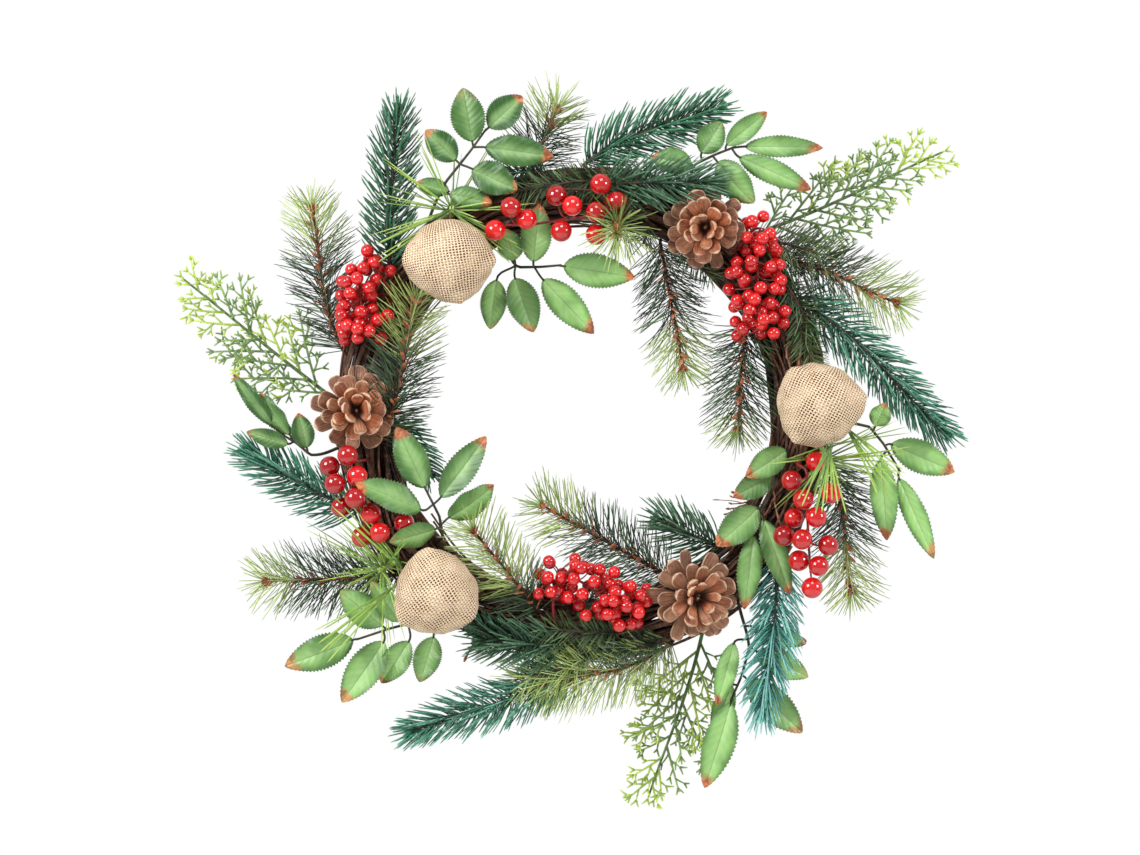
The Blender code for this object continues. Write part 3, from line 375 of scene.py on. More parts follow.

# Moulded green surfaces: their root, which is painted shade near the stem, middle and tip, and a painted
# highlight streaked along them
NEEDLE_COLOURS = (
    ("fir_dark", (14, 42, 28), (44, 98, 66), (72, 132, 96), (118, 172, 136)),
    ("fir_green", (16, 48, 34), (48, 110, 78), (88, 156, 116), (126, 186, 148)),
    ("fir_teal", (18, 54, 44), (56, 122, 94), (104, 178, 148), (142, 202, 174)),
    ("fir_pale", (40, 98, 92), (98, 174, 162), (158, 220, 212), (178, 228, 220)),
    ("fir_bright", (24, 66, 54), (68, 136, 108), (120, 194, 164), (158, 214, 188)),
    ("fir_deep", (26, 54, 38), (66, 106, 76), (106, 152, 114), (136, 180, 140)),
    ("cedar_twig", (78, 106, 56), (112, 142, 80), (152, 182, 104), (152, 180, 116)),
    ("cedar_lime", (118, 146, 58), (164, 190, 76), (204, 222, 104), (192, 212, 112)),
    ("grass_blade", (66, 104, 40), (146, 182, 76), (190, 212, 108), (178, 204, 100)),
)

# Stems and other plain rough surfaces: two colours, and the roughness
STEM_COLOURS = (
    ("fir_stem", (34, 40, 30), (74, 50, 38), 0.6),
    ("pine_stem", (34, 22, 18), (86, 50, 36), 0.6),
    ("pine_bract", (140, 76, 48), (214, 138, 98), 0.6),
    ("cedar_stem", (62, 90, 42), (98, 128, 62), 0.6),
    ("leaf_stem", (28, 34, 20), (62, 66, 38), 0.6),
    ("twig_end", (92, 54, 40), (164, 110, 80), 0.6),
    ("berry_stem", (110, 18, 18), (168, 50, 44), 0.35),
    ("frayed_thread", (186, 150, 108), (236, 210, 174), 0.9),
)

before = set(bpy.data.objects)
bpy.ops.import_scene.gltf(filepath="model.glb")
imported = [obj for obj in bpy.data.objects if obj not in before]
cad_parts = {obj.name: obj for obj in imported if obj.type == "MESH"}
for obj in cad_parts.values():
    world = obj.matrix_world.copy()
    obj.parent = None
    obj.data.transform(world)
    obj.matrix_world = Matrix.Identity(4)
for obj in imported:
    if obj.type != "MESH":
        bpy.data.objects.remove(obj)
cad_low, cad_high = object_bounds()
RING_CENTRE = Vector((0, 0, -HOOK_DROP))


# Shared geometry

def place(across, up, forward):
    """A point of the layout, from millimetres."""
    return RING_CENTRE + Vector((across, -forward, up)) * MM


def draws(kind, number=0):
    """The random numbers of one piece."""
    return random.Random(SEEDS[kind] + number)


def scatter(rng):
    """A random vector, at most 1 either way on each axis."""
    return Vector((rng.uniform(-1, 1), rng.uniform(-1, 1), rng.uniform(-1, 1)))


def turned(first, second, angle):
    """The direction at an angle from one direction towards another that is square to it."""
    return first * math.cos(angle) + second * math.sin(angle)


def spiral(heading, count):
    """Directions square to a heading, each turned by the golden angle from the last."""
    side = heading.orthogonal().normalized()
    other = heading.cross(side)
    return [turned(side, other, k * GOLDEN_ANGLE) for k in range(count)]


def ring_point(clock):
    """The point of the ring's centreline at a clock angle."""
    angle = math.radians(clock)
    return RING_CENTRE + Vector((math.sin(angle), 0, math.cos(angle))) * RING_RADIUS


def ring_side(clock, side):
    """The direction out of the ring's bundle at a clock angle and a side."""
    return turned((ring_point(clock) - RING_CENTRE).normalized(), FRONT, math.radians(side))


def ring_along(clock, towards):
    """The direction along the ring, clockwise or back, that leads towards a point."""
    angle = math.radians(clock)
    along = Vector((math.cos(angle), 0, -math.sin(angle)))
    return along if (towards - ring_point(clock)).dot(along) > 0 else -along


def box_of(points):
    """The lowest and the highest corner of the box round the points."""
    return Vector(map(min, zip(*points))), Vector(map(max, zip(*points)))


def within(point):
    """Whether a point lies in the solids' box, give or take a little."""
    return all(cad_low[k] - LOOSE[k] < point[k] < cad_high[k] + LOOSE[k] for k in range(3))


def smooth_step(low, high, value):
    """0 below the low value, 1 above the high one, and smooth between."""
    share = min(max((value - low) / (high - low), 0), 1)
    return share * share * (3 - 2 * share)


def tapered(radius, count, drop, thick=1.0, spare=0):
    """Radii along a stem that loses a share of its thickness by its end, or by spare points past its end."""
    return [radius * (thick - drop * k / (count - 1 + spare)) for k in range(count)]


@lru_cache(maxsize=None)
def circle(sides):
    """The cosine and sine of each corner of a regular polygon."""
    return [(math.cos(2 * math.pi * k / sides), math.sin(2 * math.pi * k / sides)) for k in range(sides)]


class Solid:
    """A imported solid: its corners, its box, and a tree to test distances against."""

    def __init__(self, name):
        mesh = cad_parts[name].data
        self.corners = [v.co.copy() for v in mesh.vertices]
        self.faces = [list(p.vertices) for p in mesh.polygons]
        self.low, self.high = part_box(name)
        self.tree = BVHTree.FromPolygons(self.corners, self.faces)

    def depth(self, point, most):
        """How deep a point lies inside the solid, which is nowhere deeper than most; negative outside."""
        location, normal, _, miss = self.tree.find_nearest(point)
        return (location - point).dot(normal) if miss < most else -miss

    def near(self, point, reach):
        """Whether the solid's surface is within reach of a point."""
        return self.tree.find_nearest(point, reach)[0] is not None

    def meets(self, low, high):
        """Whether the solid's box meets another."""
        return all(low[k] <= self.high[k] and high[k] >= self.low[k] for k in range(3))


solids = {name: Solid(name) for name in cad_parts}
RING_SOLIDS = [solids["ring_core"]] + [solids[f"vine_{k + 1}"] for k in range(VINE_COUNT)]


def neighbours(low, high):
    """The solids near a box that needles mustn't run through."""
    return [s for name, s in solids.items() if not name.startswith(SOFT_NAMES) and s.meets(low, high)]


def crosses(points, obstacles):
    """True where a thin line through the points meets one of the obstacles."""
    box = box_of(points)
    for solid in obstacles:
        if not solid.meets(*box):
            continue
        for start, end in zip(points, points[1:]):
            step = end - start
            if step.length > 0 and solid.tree.ray_cast(start, step, step.length)[0] is not None:
                return True
    return False


def seat_on_ring(clock, side, radius):
    """The centre of a stem of this radius that starts on the bundle's surface."""
    outwards = ring_side(clock, side)
    start = ring_point(clock)
    beyond = 3 * VINE_LAYER_RADIUS
    hits = [solid.tree.ray_cast(start + outwards * beyond, -outwards)[3] for solid in RING_SOLIDS]
    distance = beyond - min(hit for hit in hits if hit)
    while any(solid.near(start + outwards * distance, radius + GAP) for solid in RING_SOLIDS):
        distance += 0.1 * MM
    return start + outwards * distance


class Line:
    """A stem's line, read by the distance along it."""

    def __init__(self, points):
        self.points = points
        self.marks = [0.0]
        for start, end in zip(points, points[1:]):
            self.marks.append(self.marks[-1] + (end - start).length)
        self.length = self.marks[-1]

    def at(self, distance):
        for k in range(1, len(self.marks)):
            if self.marks[k] >= distance:
                share = (distance - self.marks[k - 1]) / (self.marks[k] - self.marks[k - 1])
                return self.points[k - 1].lerp(self.points[k], share)
        return self.points[-1].copy()

    def heading(self, distance):
        step = 0.5 * MM
        return (self.at(min(distance + step, self.length)) - self.at(max(distance - step, 0))).normalized()

    def nearest(self, point):
        """The distance along the line at which it comes nearest to a point."""
        return min((self.length * k / 60 for k in range(61)), key=lambda d: (self.at(d) - point).length)

    def spaced(self, step):
        """Points along the line, about a step apart."""
        count = max(2, round(self.length / step))
        return [self.at(self.length * k / count) for k in range(count + 1)]


def stem_line(name, start, knots, radius):
    """A stem's line from the ring through the knots. Its start and its bow are the first that lead it through
    its solid."""
    solid = solids[name]
    knots = [place(*knot) for knot in knots]
    end = knots[0]
    beyond = knots[1] if len(knots) > 1 else end
    best, deepest = None, -1.0
    most = 1.4 * radius
    for shift, turn in product(STEM_SHIFTS, STEM_TURNS):
        clock, side = start[0] + shift, start[1] + turn
        root = seat_on_ring(clock, side, radius)
        outwards = ring_side(clock, side)
        if solid.depth(root + outwards * 2 * MM, most) < -3 * MM:
            continue
        span = (end - root).length
        heading = (end - root).normalized()
        lead = (outwards * 0.5 + heading * 0.8 + ring_along(clock, end) * 0.3) * span * 0.33
        approach = (beyond - root).normalized() * span * 0.33
        for bow, swing in product(STEM_BOWS, STEM_SWINGS):
            forward = FRONT * bow * MM
            sideways = heading.cross(FRONT) * swing * span
            tip = end + (forward * 0.7 if len(knots) == 1 else Vector())
            handles = (root + lead + forward + sideways, tip - approach + forward * 0.5)
            points = interpolate_bezier(root, *handles, tip, STEM_POINTS)
            depth = 1.0
            for index in STEM_TESTS:
                depth = min(depth, solid.depth(points[index], most))
                if depth < deepest + LINE_MARGIN:
                    break
            else:
                deepest = depth
                best = [root - outwards * 1.2 * MM] + [p.copy() for p in points] + knots[1:]
    return Line(best)


# Objects

def link_object(name, data):
    obj = bpy.data.objects.new(name, data)
    bpy.context.scene.collection.objects.link(obj)
    return obj


def mesh_object(name, points, faces, materials):
    """An object with a smooth mesh and its materials."""
    mesh = bpy.data.meshes.new(name)
    mesh.from_pydata(points, [], faces)
    for material in materials:
        mesh.materials.append(bpy.data.materials[material])
    mesh.shade_smooth()
    return link_object(name, mesh)


def dress(obj, nodes):
    """Lets an object stand for the nodes, if any, and ride with the wreath."""
    if nodes:
        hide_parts(*nodes)
    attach(obj, "root")


class Piece:
    """Points and faces gathered for one piece. Each point has four numbers that the materials read: how far
    along its own needle, leaf or twig it lies, a tone that the whole of it shares, a share that its maker
    chooses, and how far across the blade it lies."""

    def __init__(self):
        self.points = []
        self.faces = []
        self.growth = []
        self.slots = []

    def add_loft(self, rings, growths, slot=0, tip=None):
        """Closed rings of points joined one to the next, ended by a tip point or by a flat face. Each ring's
        points have one growth, or a list of them."""
        base = len(self.points)
        sides = len(rings[0])
        for ring, growth in zip(rings, growths):
            self.points.extend(ring)
            self.growth.extend(growth if isinstance(growth, list) else [growth] * sides)
        first = len(self.faces)
        self.faces.append(tuple(range(base + sides - 1, base - 1, -1)))
        for row in range(len(rings) - 1):
            low, high = base + row * sides, base + (row + 1) * sides
            for k in range(sides):
                before = (k - 1) % sides
                self.faces.append((low + before, low + k, high + k, high + before))
        last = base + (len(rings) - 1) * sides
        if tip is None:
            self.faces.append(tuple(range(last, last + sides)))
        else:
            point = len(self.points)
            self.points.append(tip)
            self.growth.append((1.0,) + self.growth[last][1:])
            for k in range(sides):
                self.faces.append((last + (k - 1) % sides, last + k, point))
        self.slots.extend([slot] * (len(self.faces) - first))

    def add_tube(self, points, radii, sides, tone=0.5, share=0.0, slot=0, flat=1.0, facing=FRONT,
                 pointed=False):
        """A tube through the points, flat times as thick along the facing direction as across it."""
        up = facing
        last = len(points) - 1
        rings, growths = [], []
        for index in range(last if pointed else last + 1):
            along = points[min(index + 1, last)] - points[max(index - 1, 0)]
            along.normalize()
            up = up - along * up.dot(along)
            if up.length < 0.05:
                up = along.orthogonal()
            up.normalize()
            across = along.cross(up) * radii[index]
            lift = up * (radii[index] * flat)
            rings.append([points[index] + lift * c + across * s for c, s in circle(sides)])
            growths.append((index / last, tone, share, 0.0))
        self.add_loft(rings, growths, slot, points[-1] if pointed else None)

    def add_stem(self, line, step, radius, drop, thick=1.0, spare=0, knobs=0.0, slot=1, flat=1.0):
        """The tapered stem that a spray or a pick grows from. Every fourth point may be thicker by knobs."""
        points = line.spaced(step)
        radii = tapered(radius, len(points), drop, thick, spare)
        radii = [r * (1 + knobs * (k % 4 == 0)) for k, r in enumerate(radii)]
        self.add_tube(points, radii, 8, slot=slot, flat=flat)

    def add_ball(self, centre, radius, axis, rows, columns, tone, dent=0.0):
        """A ball whose far pole from its stalk may be dented."""
        across = axis.orthogonal().normalized()
        other = axis.cross(across)
        rings, growths = [], []
        for row in range(1, rows):
            angle = math.pi * row / rows
            reach = radius * (1 - dent * math.exp(-(((math.pi - angle) / 0.35) ** 2)))
            rise = axis * (-math.cos(angle) * reach)
            wide = math.sin(angle) * reach
            rings.append([centre + rise + (across * c + other * s) * wide for c, s in circle(columns)])
            growths.append((row / rows, tone, 0.0, 0.0))
        self.add_loft(rings, growths, tip=centre + axis * radius * (1 - dent))

    def finish(self, name, materials, nodes, slot):
        """Makes the object from what was gathered."""
        obj = mesh_object(name, self.points, self.faces, materials)
        obj.data.polygons.foreach_set("material_index", self.slots)
        growth = obj.data.attributes.new("growth", "FLOAT_COLOR", "POINT")
        growth.data.foreach_set("color", [number for numbers in self.growth for number in numbers])
        obj.data.set_sharp_from_angle(angle=SHARP_EDGE)
        dress(obj, nodes)
        return obj


def begin(kind, number, start, knots, radius, step, drop, **look):
    """The piece that will stand for a spray or a pick, with its stem. Returns with it the stem's line, the
    solid's name and the piece's own random numbers."""
    name = f"{kind}_{number}"
    line = stem_line(name, start, knots, radius)
    piece = Piece()
    piece.add_stem(line, step, radius, drop, **look)
    return piece, line, name, draws(kind, number)


# Materials

def colour(red, green, blue):
    """A screen colour, 0 to 255 a channel, as the linear colour that shaders take."""
    channels = []
    for channel in (red, green, blue):
        level = channel / 255
        channels.append(level / 12.92 if level <= 0.04045 else ((level + 0.055) / 1.055) ** 2.4)
    return (*channels, 1)


def add_node(tree, kind, inputs=(), **settings):
    """Adds a node. Each input takes a link, a number, or three numbers as a screen colour."""
    node = tree.nodes.new("ShaderNode" + kind)
    for key, setting in settings.items():
        setattr(node, key, setting)
    for key, value in dict(inputs).items():
        if isinstance(value, bpy.types.NodeSocket):
            tree.links.new(value, node.inputs[key])
        else:
            node.inputs[key].default_value = colour(*value) if isinstance(value, tuple) else value
    return node


def add_range(tree, value, low, high, first=0.0, last=1.0):
    """The value's place between low and high, from first to last."""
    inputs = dict(enumerate((value, low, high, first, last)))
    return add_node(tree, "MapRange", inputs, interpolation_type="SMOOTHSTEP").outputs[0]


class Shade:
    """A material whose base colour is built up by covering it with one colour after another."""

    def __init__(self, name, roughness, specular=0.5):
        material = bpy.data.materials.new(name)
        material.use_nodes = True
        self.tree = material.node_tree
        self.shader = self.tree.nodes["Principled BSDF"]
        self.shader.inputs["Roughness"].default_value = roughness
        self.shader.inputs["Specular IOR Level"].default_value = specular
        reader = self.add("Attribute", attribute_name="growth")
        self.along, self.tone, self.share = self.add("SeparateColor", {0: reader.outputs["Color"]}).outputs
        self.across = reader.outputs["Alpha"]
        self.place = self.add("TexCoord").outputs["Object"]

    def add(self, kind, inputs=(), **settings):
        return add_node(self.tree, kind, inputs, **settings)

    def range(self, *numbers):
        return add_range(self.tree, *numbers)

    def math(self, operation, first, second=0.0):
        return self.add("Math", {0: first, 1: second}, operation=operation).outputs[0]

    def times(self, first, second):
        return self.math("MULTIPLY", first, second)

    def noise(self, scale, detail=3.0, place=None):
        inputs = {"Vector": place or self.place, "Scale": scale, "Detail": detail}
        return self.add("TexNoise", inputs).outputs["Fac"]

    def local(self, along, across, apart=37.0):
        """Coordinates in the needle, leaf or scale itself, which differ from one to the next by its tone."""
        parts = ((self.along, along), (self.across, across), (self.tone, apart))
        inputs = dict(enumerate(self.times(value, factor) for value, factor in parts))
        return self.add("CombineXYZ", inputs).outputs[0]

    def mix(self, factor, first, second):
        return self.add("Mix", {"Factor": factor, 6: first, 7: second}, data_type="RGBA").outputs[2]

    def cover(self, factor, tint):
        self.base = self.mix(factor, self.base, tint)

    def layer(self, tint, *numbers):
        """Covers the base where a value is in a range."""
        self.cover(self.range(*numbers), tint)

    def finish(self, height=None, distance=0.0, strength=1.0):
        """Hands the base colour to the shader, and the relief, if any."""
        self.tree.links.new(self.base, self.shader.inputs["Base Color"])
        if height is not None:
            bump = self.add("Bump", {"Height": height, "Distance": distance, "Strength": strength})
            self.tree.links.new(bump.outputs[0], self.shader.inputs["Normal"])


def make_needle_material(name, root, middle, tip, painted_highlight):
    """Moulded needles: darker at the root, which is painted shade near the stem, with lighter tips and a
    painted highlight in lighter streaks.
    """
    shade = Shade(name, 0.4)
    # Painted shade: the root colour darkens each needle near the stem.
    shade.base = shade.mix(shade.range(shade.along, 0.0, 0.4), root, middle)
    shade.layer(tip, shade.along, 0.4, 1.0)
    # Painted highlight: lighter streaks from noise.
    shade.layer(painted_highlight, shade.noise(420, 2.0), 0.5, 0.7, 0.0, 0.6)
    shade.layer(root, shade.tone, 0.0, 0.75, 0.62, 0.0)
    shade.finish(shade.noise(900, 2.0), 0.2 * MM, 0.4)


def make_pine_material():
    """Thin needles, dark along the stem and yellow-green towards the spray's end, with painted shade at each
    needle's root.
    """
    shade = Shade("pine_needle", 0.42)
    dark = shade.mix(shade.range(shade.tone, 0.3, 1.0), (26, 40, 28), (84, 118, 76))
    lime = shade.mix(shade.tone, (116, 142, 68), (190, 208, 128))
    shade.base = shade.mix(shade.range(shade.share, 0.0, 1.0), dark, lime)
    # Painted shade: darker near each needle's root, by the stem.
    shade.layer((20, 30, 20), shade.along, 0.0, 0.25, 0.55, 0.0)
    shade.finish()


def make_stem_material(name, first, second, roughness):
    """A stem's rough skin, between two colours."""
    shade = Shade(name, roughness)
    shade.base = shade.mix(shade.range(shade.noise(260), 0.35, 0.65), first, second)
    shade.finish(shade.noise(700), 0.3 * MM, 0.7)


def make_bark_material():
    """Dark vine bark with long paler streaks, partly grain and partly a painted highlight, a reddish skin,
    and cracks.
    """
    shade = Shade("bark", 0.7, 0.35)
    shade.base = shade.mix(shade.tone, (40, 27, 23), (122, 82, 60))
    # Paler streaks: partly grain, partly a painted highlight along the twigs.
    shade.layer((150, 116, 90), shade.noise(330, 4.0), 0.5, 0.68, 0.0, 0.6)
    shade.layer((108, 56, 36), shade.noise(60, 2.0), 0.5, 0.62, 0.0, 0.4)
    shade.layer((24, 17, 15), shade.noise(150, 5.0), 0.6, 0.42, 0.0, 0.55)
    shade.finish(shade.noise(420, 6.0), 0.8 * MM, 0.8)


def make_cone_material():
    """Woody scales: grained orange-brown faces, duller towards the end. The outer scales are darker, partly
    their own colour and partly painted shade, each scale's root has painted shade, and the tan rim is a
    painted highlight.
    """
    shade = Shade("cone_scale", 0.55, 0.4)
    grain = shade.range(shade.noise(1.0, 4.0, shade.local(1.5, 7.0)), 0.42, 0.62)
    # Outer scales darker than inner ones: partly their own colour, partly painted shade from the scales
    # above.
    shade.base = shade.mix(shade.range(shade.share, 0.0, 0.9), (94, 58, 44), (216, 126, 82))
    shade.layer((204, 158, 124), shade.tone, 0.25, 1.0, 0.0, 0.75)
    shade.layer((128, 88, 72), shade.along, 0.7, 0.88, 0.0, 0.5)
    shade.cover(shade.times(grain, 0.45), (92, 52, 36))
    shade.layer((210, 160, 124), shade.noise(160, 4.0), 0.5, 0.66, 0.0, 0.35)
    # Painted shade: dark towards each scale's root, deep in the cone.
    shade.layer((36, 19, 14), shade.along, 0.15, 0.65, 0.94, 0.0)
    # Painted highlight: a pale rim along the scale's end and edges, where it catches the light.
    sides = shade.times(shade.range(shade.across, 0.9, 0.98), shade.range(shade.along, 0.5, 0.8))
    rim = shade.math("MAXIMUM", shade.range(shade.along, 0.96, 0.99), sides)
    uneven = shade.range(shade.noise(240), 0.35, 0.6, 0.35, 0.9)
    shade.cover(shade.times(rim, uneven), (242, 206, 172))
    shade.finish(shade.math("ADD", grain, shade.noise(800, 5.0)), 0.4 * MM, 0.7)


def make_leaf_material():
    """A printed cloth leaf: satin green, paler along the middle from a painted sheen and darker at the
    margins and in patches from painted shade, with a midrib, faint side veins and a burnt tip."""
    shade = Shade("leaf_blade", 0.38)
    wander = shade.times(shade.noise(70, 2.0), 0.7)
    side = shade.math("ADD", shade.across, shade.math("SUBTRACT", wander, 0.35))
    slant = shade.math("SUBTRACT", shade.times(shade.along, 9.0), shade.times(shade.across, 1.8))
    veins = shade.math("SINE", shade.times(slant, 2 * math.pi))
    # The leaf's tone: partly its own colour, partly painted shade for leaves that lie in shadow.
    shade.base = shade.mix(shade.tone, (42, 86, 32), (150, 200, 114))
    # Painted sheen: paler along the middle of the blade.
    shade.layer((172, 212, 138), side, 0.05, 0.65, 0.5, 0.0)
    # Painted shade: darker towards the margins, where the blade curls.
    shade.layer((46, 90, 36), side, 0.5, 1.0, 0.0, 0.65)
    # Painted shadow: darker patches from noise.
    shade.layer((48, 92, 38), shade.noise(38, 2.0), 0.56, 0.38, 0.0, 0.4)
    shade.layer((182, 216, 148), veins, 0.8, 1.0, 0.0, 0.05)
    shade.layer((40, 80, 34), veins, -0.7, -1.0, 0.0, 0.07)
    shade.layer((44, 78, 34), shade.across, 0.0, 0.05, 0.45, 0.0)
    shade.layer((92, 72, 44), shade.across, 0.93, 1.0, 0.0, 0.5)
    jagged = shade.math("ADD", shade.along, shade.times(shade.noise(110), 0.4))
    burn = shade.mix(shade.range(shade.noise(200), 0.4, 0.6), (140, 78, 46), (206, 128, 78))
    shade.cover(shade.times(shade.range(jagged, 1.0, 1.12), shade.share), burn)
    shade.finish(shade.math("ADD", shade.noise(1500, 1.0), shade.times(veins, 0.5)), 0.16 * MM, 0.7)


def make_burlap_material():
    """An open plain weave of uneven threads with holes between them, drawn on the cloth laid flat. The holes
    and the dips where one thread passes under another are darkened with painted shade.
    """
    shade = Shade("burlap_weave", 0.95, 0.15)
    flat = shade.add("UVMap", uv_map="cloth").outputs[0]
    sides = shade.add("SeparateXYZ", {0: flat}).outputs
    wander = shade.times(shade.noise(60, 2.0), 1.4)
    waves = [shade.math("SINE", shade.times(shade.math("ADD", sides[k], wander), math.pi)) for k in (0, 1)]
    over = shade.math("MAXIMUM", *[shade.math("ABSOLUTE", wave) for wave in waves])
    crossing = shade.times(*waves)
    shade.base = shade.mix(shade.noise(100), (236, 208, 172), (255, 236, 208))
    shade.layer((204, 166, 122), shade.noise(1100, 2.0), 0.42, 0.66, 0.0, 0.3)
    # Painted shade where one thread dips under the other.
    shade.layer((196, 160, 118), crossing, -1.0, 0.4, 0.35, 0.0)
    # Painted shade in the holes between the threads.
    hole = shade.range(over, 0.7, 0.93, 1.0, 0.0)
    patch = shade.range(shade.noise(75, 2.0), 0.36, 0.58, 0.45, 1.0)
    shade.cover(shade.times(hole, patch), (96, 60, 36))
    shade.finish(shade.math("ADD", over, shade.times(crossing, 0.25)), 0.8 * MM)


def make_berry_material():
    """Glossy red skin."""
    shade = Shade("berry_skin", 0.08, 0.95)
    shade.base = shade.mix(shade.tone, (150, 4, 10), (222, 22, 24))
    shade.finish(shade.noise(90, 2.0), 0.2 * MM, 0.1)


def make_foam_material():
    """White foam, pressed from small beads."""
    shade = Shade("foam_beads", 0.8, 0.3)
    cells = shade.add("TexVoronoi", {"Vector": shade.place, "Scale": 380}).outputs["Distance"]
    shade.base = shade.mix(shade.range(cells, 0.0, 0.8), (248, 248, 244), (206, 206, 200))
    shade.finish(cells, -0.5 * MM, 0.8)


def make_materials():
    for row in NEEDLE_COLOURS:
        make_needle_material(*row)
    for row in STEM_COLOURS:
        make_stem_material(*row)
    make_pine_material()
    make_bark_material()
    make_cone_material()
    make_leaf_material()
    make_burlap_material()
    make_berry_material()
    make_foam_material()


# The ring

def vine_start(vine):
    """The point of the long helix at which a vine starts."""
    spread = 0.18 * math.sin(2.4 * vine) if 0 < vine < VINE_COUNT else 0
    return round((LAPS_PER_VINE * vine + spread) * POINTS_PER_LAP) / POINTS_PER_LAP


def helix(lap):
    """A point of the long helix, halfway between its true curve and the solids' straight steps."""
    def knot(value):
        clock = 360 * value
        return ring_point(clock) + ring_side(clock, clock * TWISTS_PER_LAP) * VINE_LAYER_RADIUS

    low = math.floor(lap * POINTS_PER_LAP + 1e-6) / POINTS_PER_LAP
    chord = knot(low).lerp(knot(low + 1 / POINTS_PER_LAP), (lap - low) * POINTS_PER_LAP)
    return chord.lerp(knot(lap), 0.5)


def twig_radii(rng, radius, count, spacing):
    """Radii along a twig, which swells at its knots and narrows between them."""
    radii = []
    knot = rng.uniform(10, 50) * MM
    travelled = 0.0
    phase = rng.uniform(0, 9)
    for index in range(count):
        travelled += spacing
        if travelled > knot + 6 * MM:
            knot += rng.uniform(40, 80) * MM
        swell = 0.34 * math.exp(-(((travelled - knot) / (3.2 * MM)) ** 2))
        radii.append(radius * (1 + swell + 0.07 * math.sin(index * 0.31 + phase) + rng.uniform(-0.03, 0.03)))
    return radii


def make_vine(vine):
    """A vine as a few twigs laid together, which swap places along it."""
    rng = draws("vine", vine)
    piece = Piece()
    first, last = vine_start(vine), vine_start(vine + 1) - 0.03
    for twig in range(TWIGS_PER_VINE):
        early, late = first + rng.uniform(0, 0.05), last - rng.uniform(0, 0.05)
        count = round((late - early) * FINE_POINTS_PER_LAP)
        twist = rng.uniform(1.6, 3.2) * rng.choice((-1, 1))
        phase = 2 * math.pi * twig / TWIGS_PER_VINE
        points = []
        for k in range(count + 1):
            lap = early + (late - early) * k / count
            centre = helix(lap)
            outwards = ring_side(360 * lap, 360 * lap * TWISTS_PER_LAP)
            sideways = outwards.cross(ring_along(360 * lap, centre + Vector((0, 0, 1)))).normalized()
            angle = phase + twist * 2 * math.pi * lap + 0.7 * math.sin(9 * lap + twig)
            offset = (2.0 + 0.5 * math.sin(13 * lap + phase)) * MM
            points.append(centre + turned(outwards, sideways, angle) * offset)
        radius = TWIG_RADIUS * rng.uniform(0.72, 1.12)
        radii = twig_radii(rng, radius, len(points), RING_RADIUS * 2 * math.pi / FINE_POINTS_PER_LAP)
        piece.add_tube(points, radii, 7, tone=rng.random())
    piece.finish(f"vine_twigs_{vine + 1}", ["bark"], [f"vine_{vine + 1}"], "vine")


def make_core():
    """The twigs inside the bundle, and thin strays that wander over it and end in the open."""
    rng = draws("core")
    piece = Piece()
    for twig in range(CORE_TWIGS):
        phase = 360 * twig / CORE_TWIGS
        layer = CORE_LAYERS[1 if twig % 3 else 0]
        points = []
        for k in range(CORE_POINTS_PER_LAP):
            lap = k / CORE_POINTS_PER_LAP
            side = phase + 360 * lap * 2 + 14 * math.sin(2 * math.pi * lap * 3 + twig)
            points.append(ring_point(360 * lap) + ring_side(360 * lap, side) * layer)
        radii = twig_radii(rng, CORE_TWIG_RADIUS, len(points), 9 * MM)
        piece.add_tube(points, radii, 6, tone=rng.random() * 0.6)
    for twig in range(STRAY_TWIGS):
        start = rng.uniform(0, 1)
        length = rng.uniform(0.1, 0.3)
        side = rng.uniform(20, 200)
        drift = rng.uniform(-260, 260)
        leave = rng.choice((0.0, 0.0, 0.6, 1.0)) * rng.uniform(4, 9) * MM
        points = []
        for k in range(STRAY_STEPS + 1):
            done = k / STRAY_STEPS
            clock = 360 * (start + length * done)
            layer = STRAY_LAYER + leave * smooth_step(0.72, 1.0, done) + 0.5 * MM * math.sin(7 * done + twig)
            points.append(ring_point(clock) + ring_side(clock, side + drift * length * done * 2) * layer)
        radii = twig_radii(rng, rng.uniform(0.6, 1.35) * MM, STRAY_STEPS + 1, 7 * MM)
        radii = [radius * (1 - 0.45 * k / STRAY_STEPS) for k, radius in enumerate(radii)]
        piece.add_tube(points, radii, 6, tone=rng.random())
    piece.finish("core_twigs", ["bark"], ["ring_core"], "vine")


# Pine cones

def make_cone(number, size, lean_side, lean_up, wide, worn):
    """An open pine cone with its tip to the front. Its scales follow a spiral from the base to the tip."""
    name = f"pine_cone_{number}"
    rng = draws("cone", number)
    piece = Piece()
    low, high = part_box(name)
    lean = Matrix.Rotation(math.radians(lean_side), 3, "Z") @ Matrix.Rotation(math.radians(lean_up), 3, "X")
    origin = Vector(((low.x + high.x) / 2, high.y - 4 * MM, (low.z + high.z) / 2))
    points = [origin + lean @ Vector((0, -CONE_HEIGHT * size * share, 0)) for share, _ in CONE_CORE]
    piece.add_tube(points, [radius * MM * size for _, radius in CONE_CORE], 9, tone=0.0)

    def lay(point):
        return origin + lean @ (point * size)

    for index in range(CONE_SCALES):
        share = index / (CONE_SCALES - 1)
        angle = index * GOLDEN_ANGLE + rng.uniform(-0.15, 0.15)
        outward = Vector((math.sin(angle), 0, math.cos(angle)))
        root = Vector((0, -CONE_HEIGHT * (0.04 + 0.5 * share), 0)) + outward * 2.2 * MM
        add_scale(piece, lay, root, share, outward, wide, worn, rng)
    piece.finish(f"cone_scales_{number}", ["cone_scale"], [name], "pine_cone")


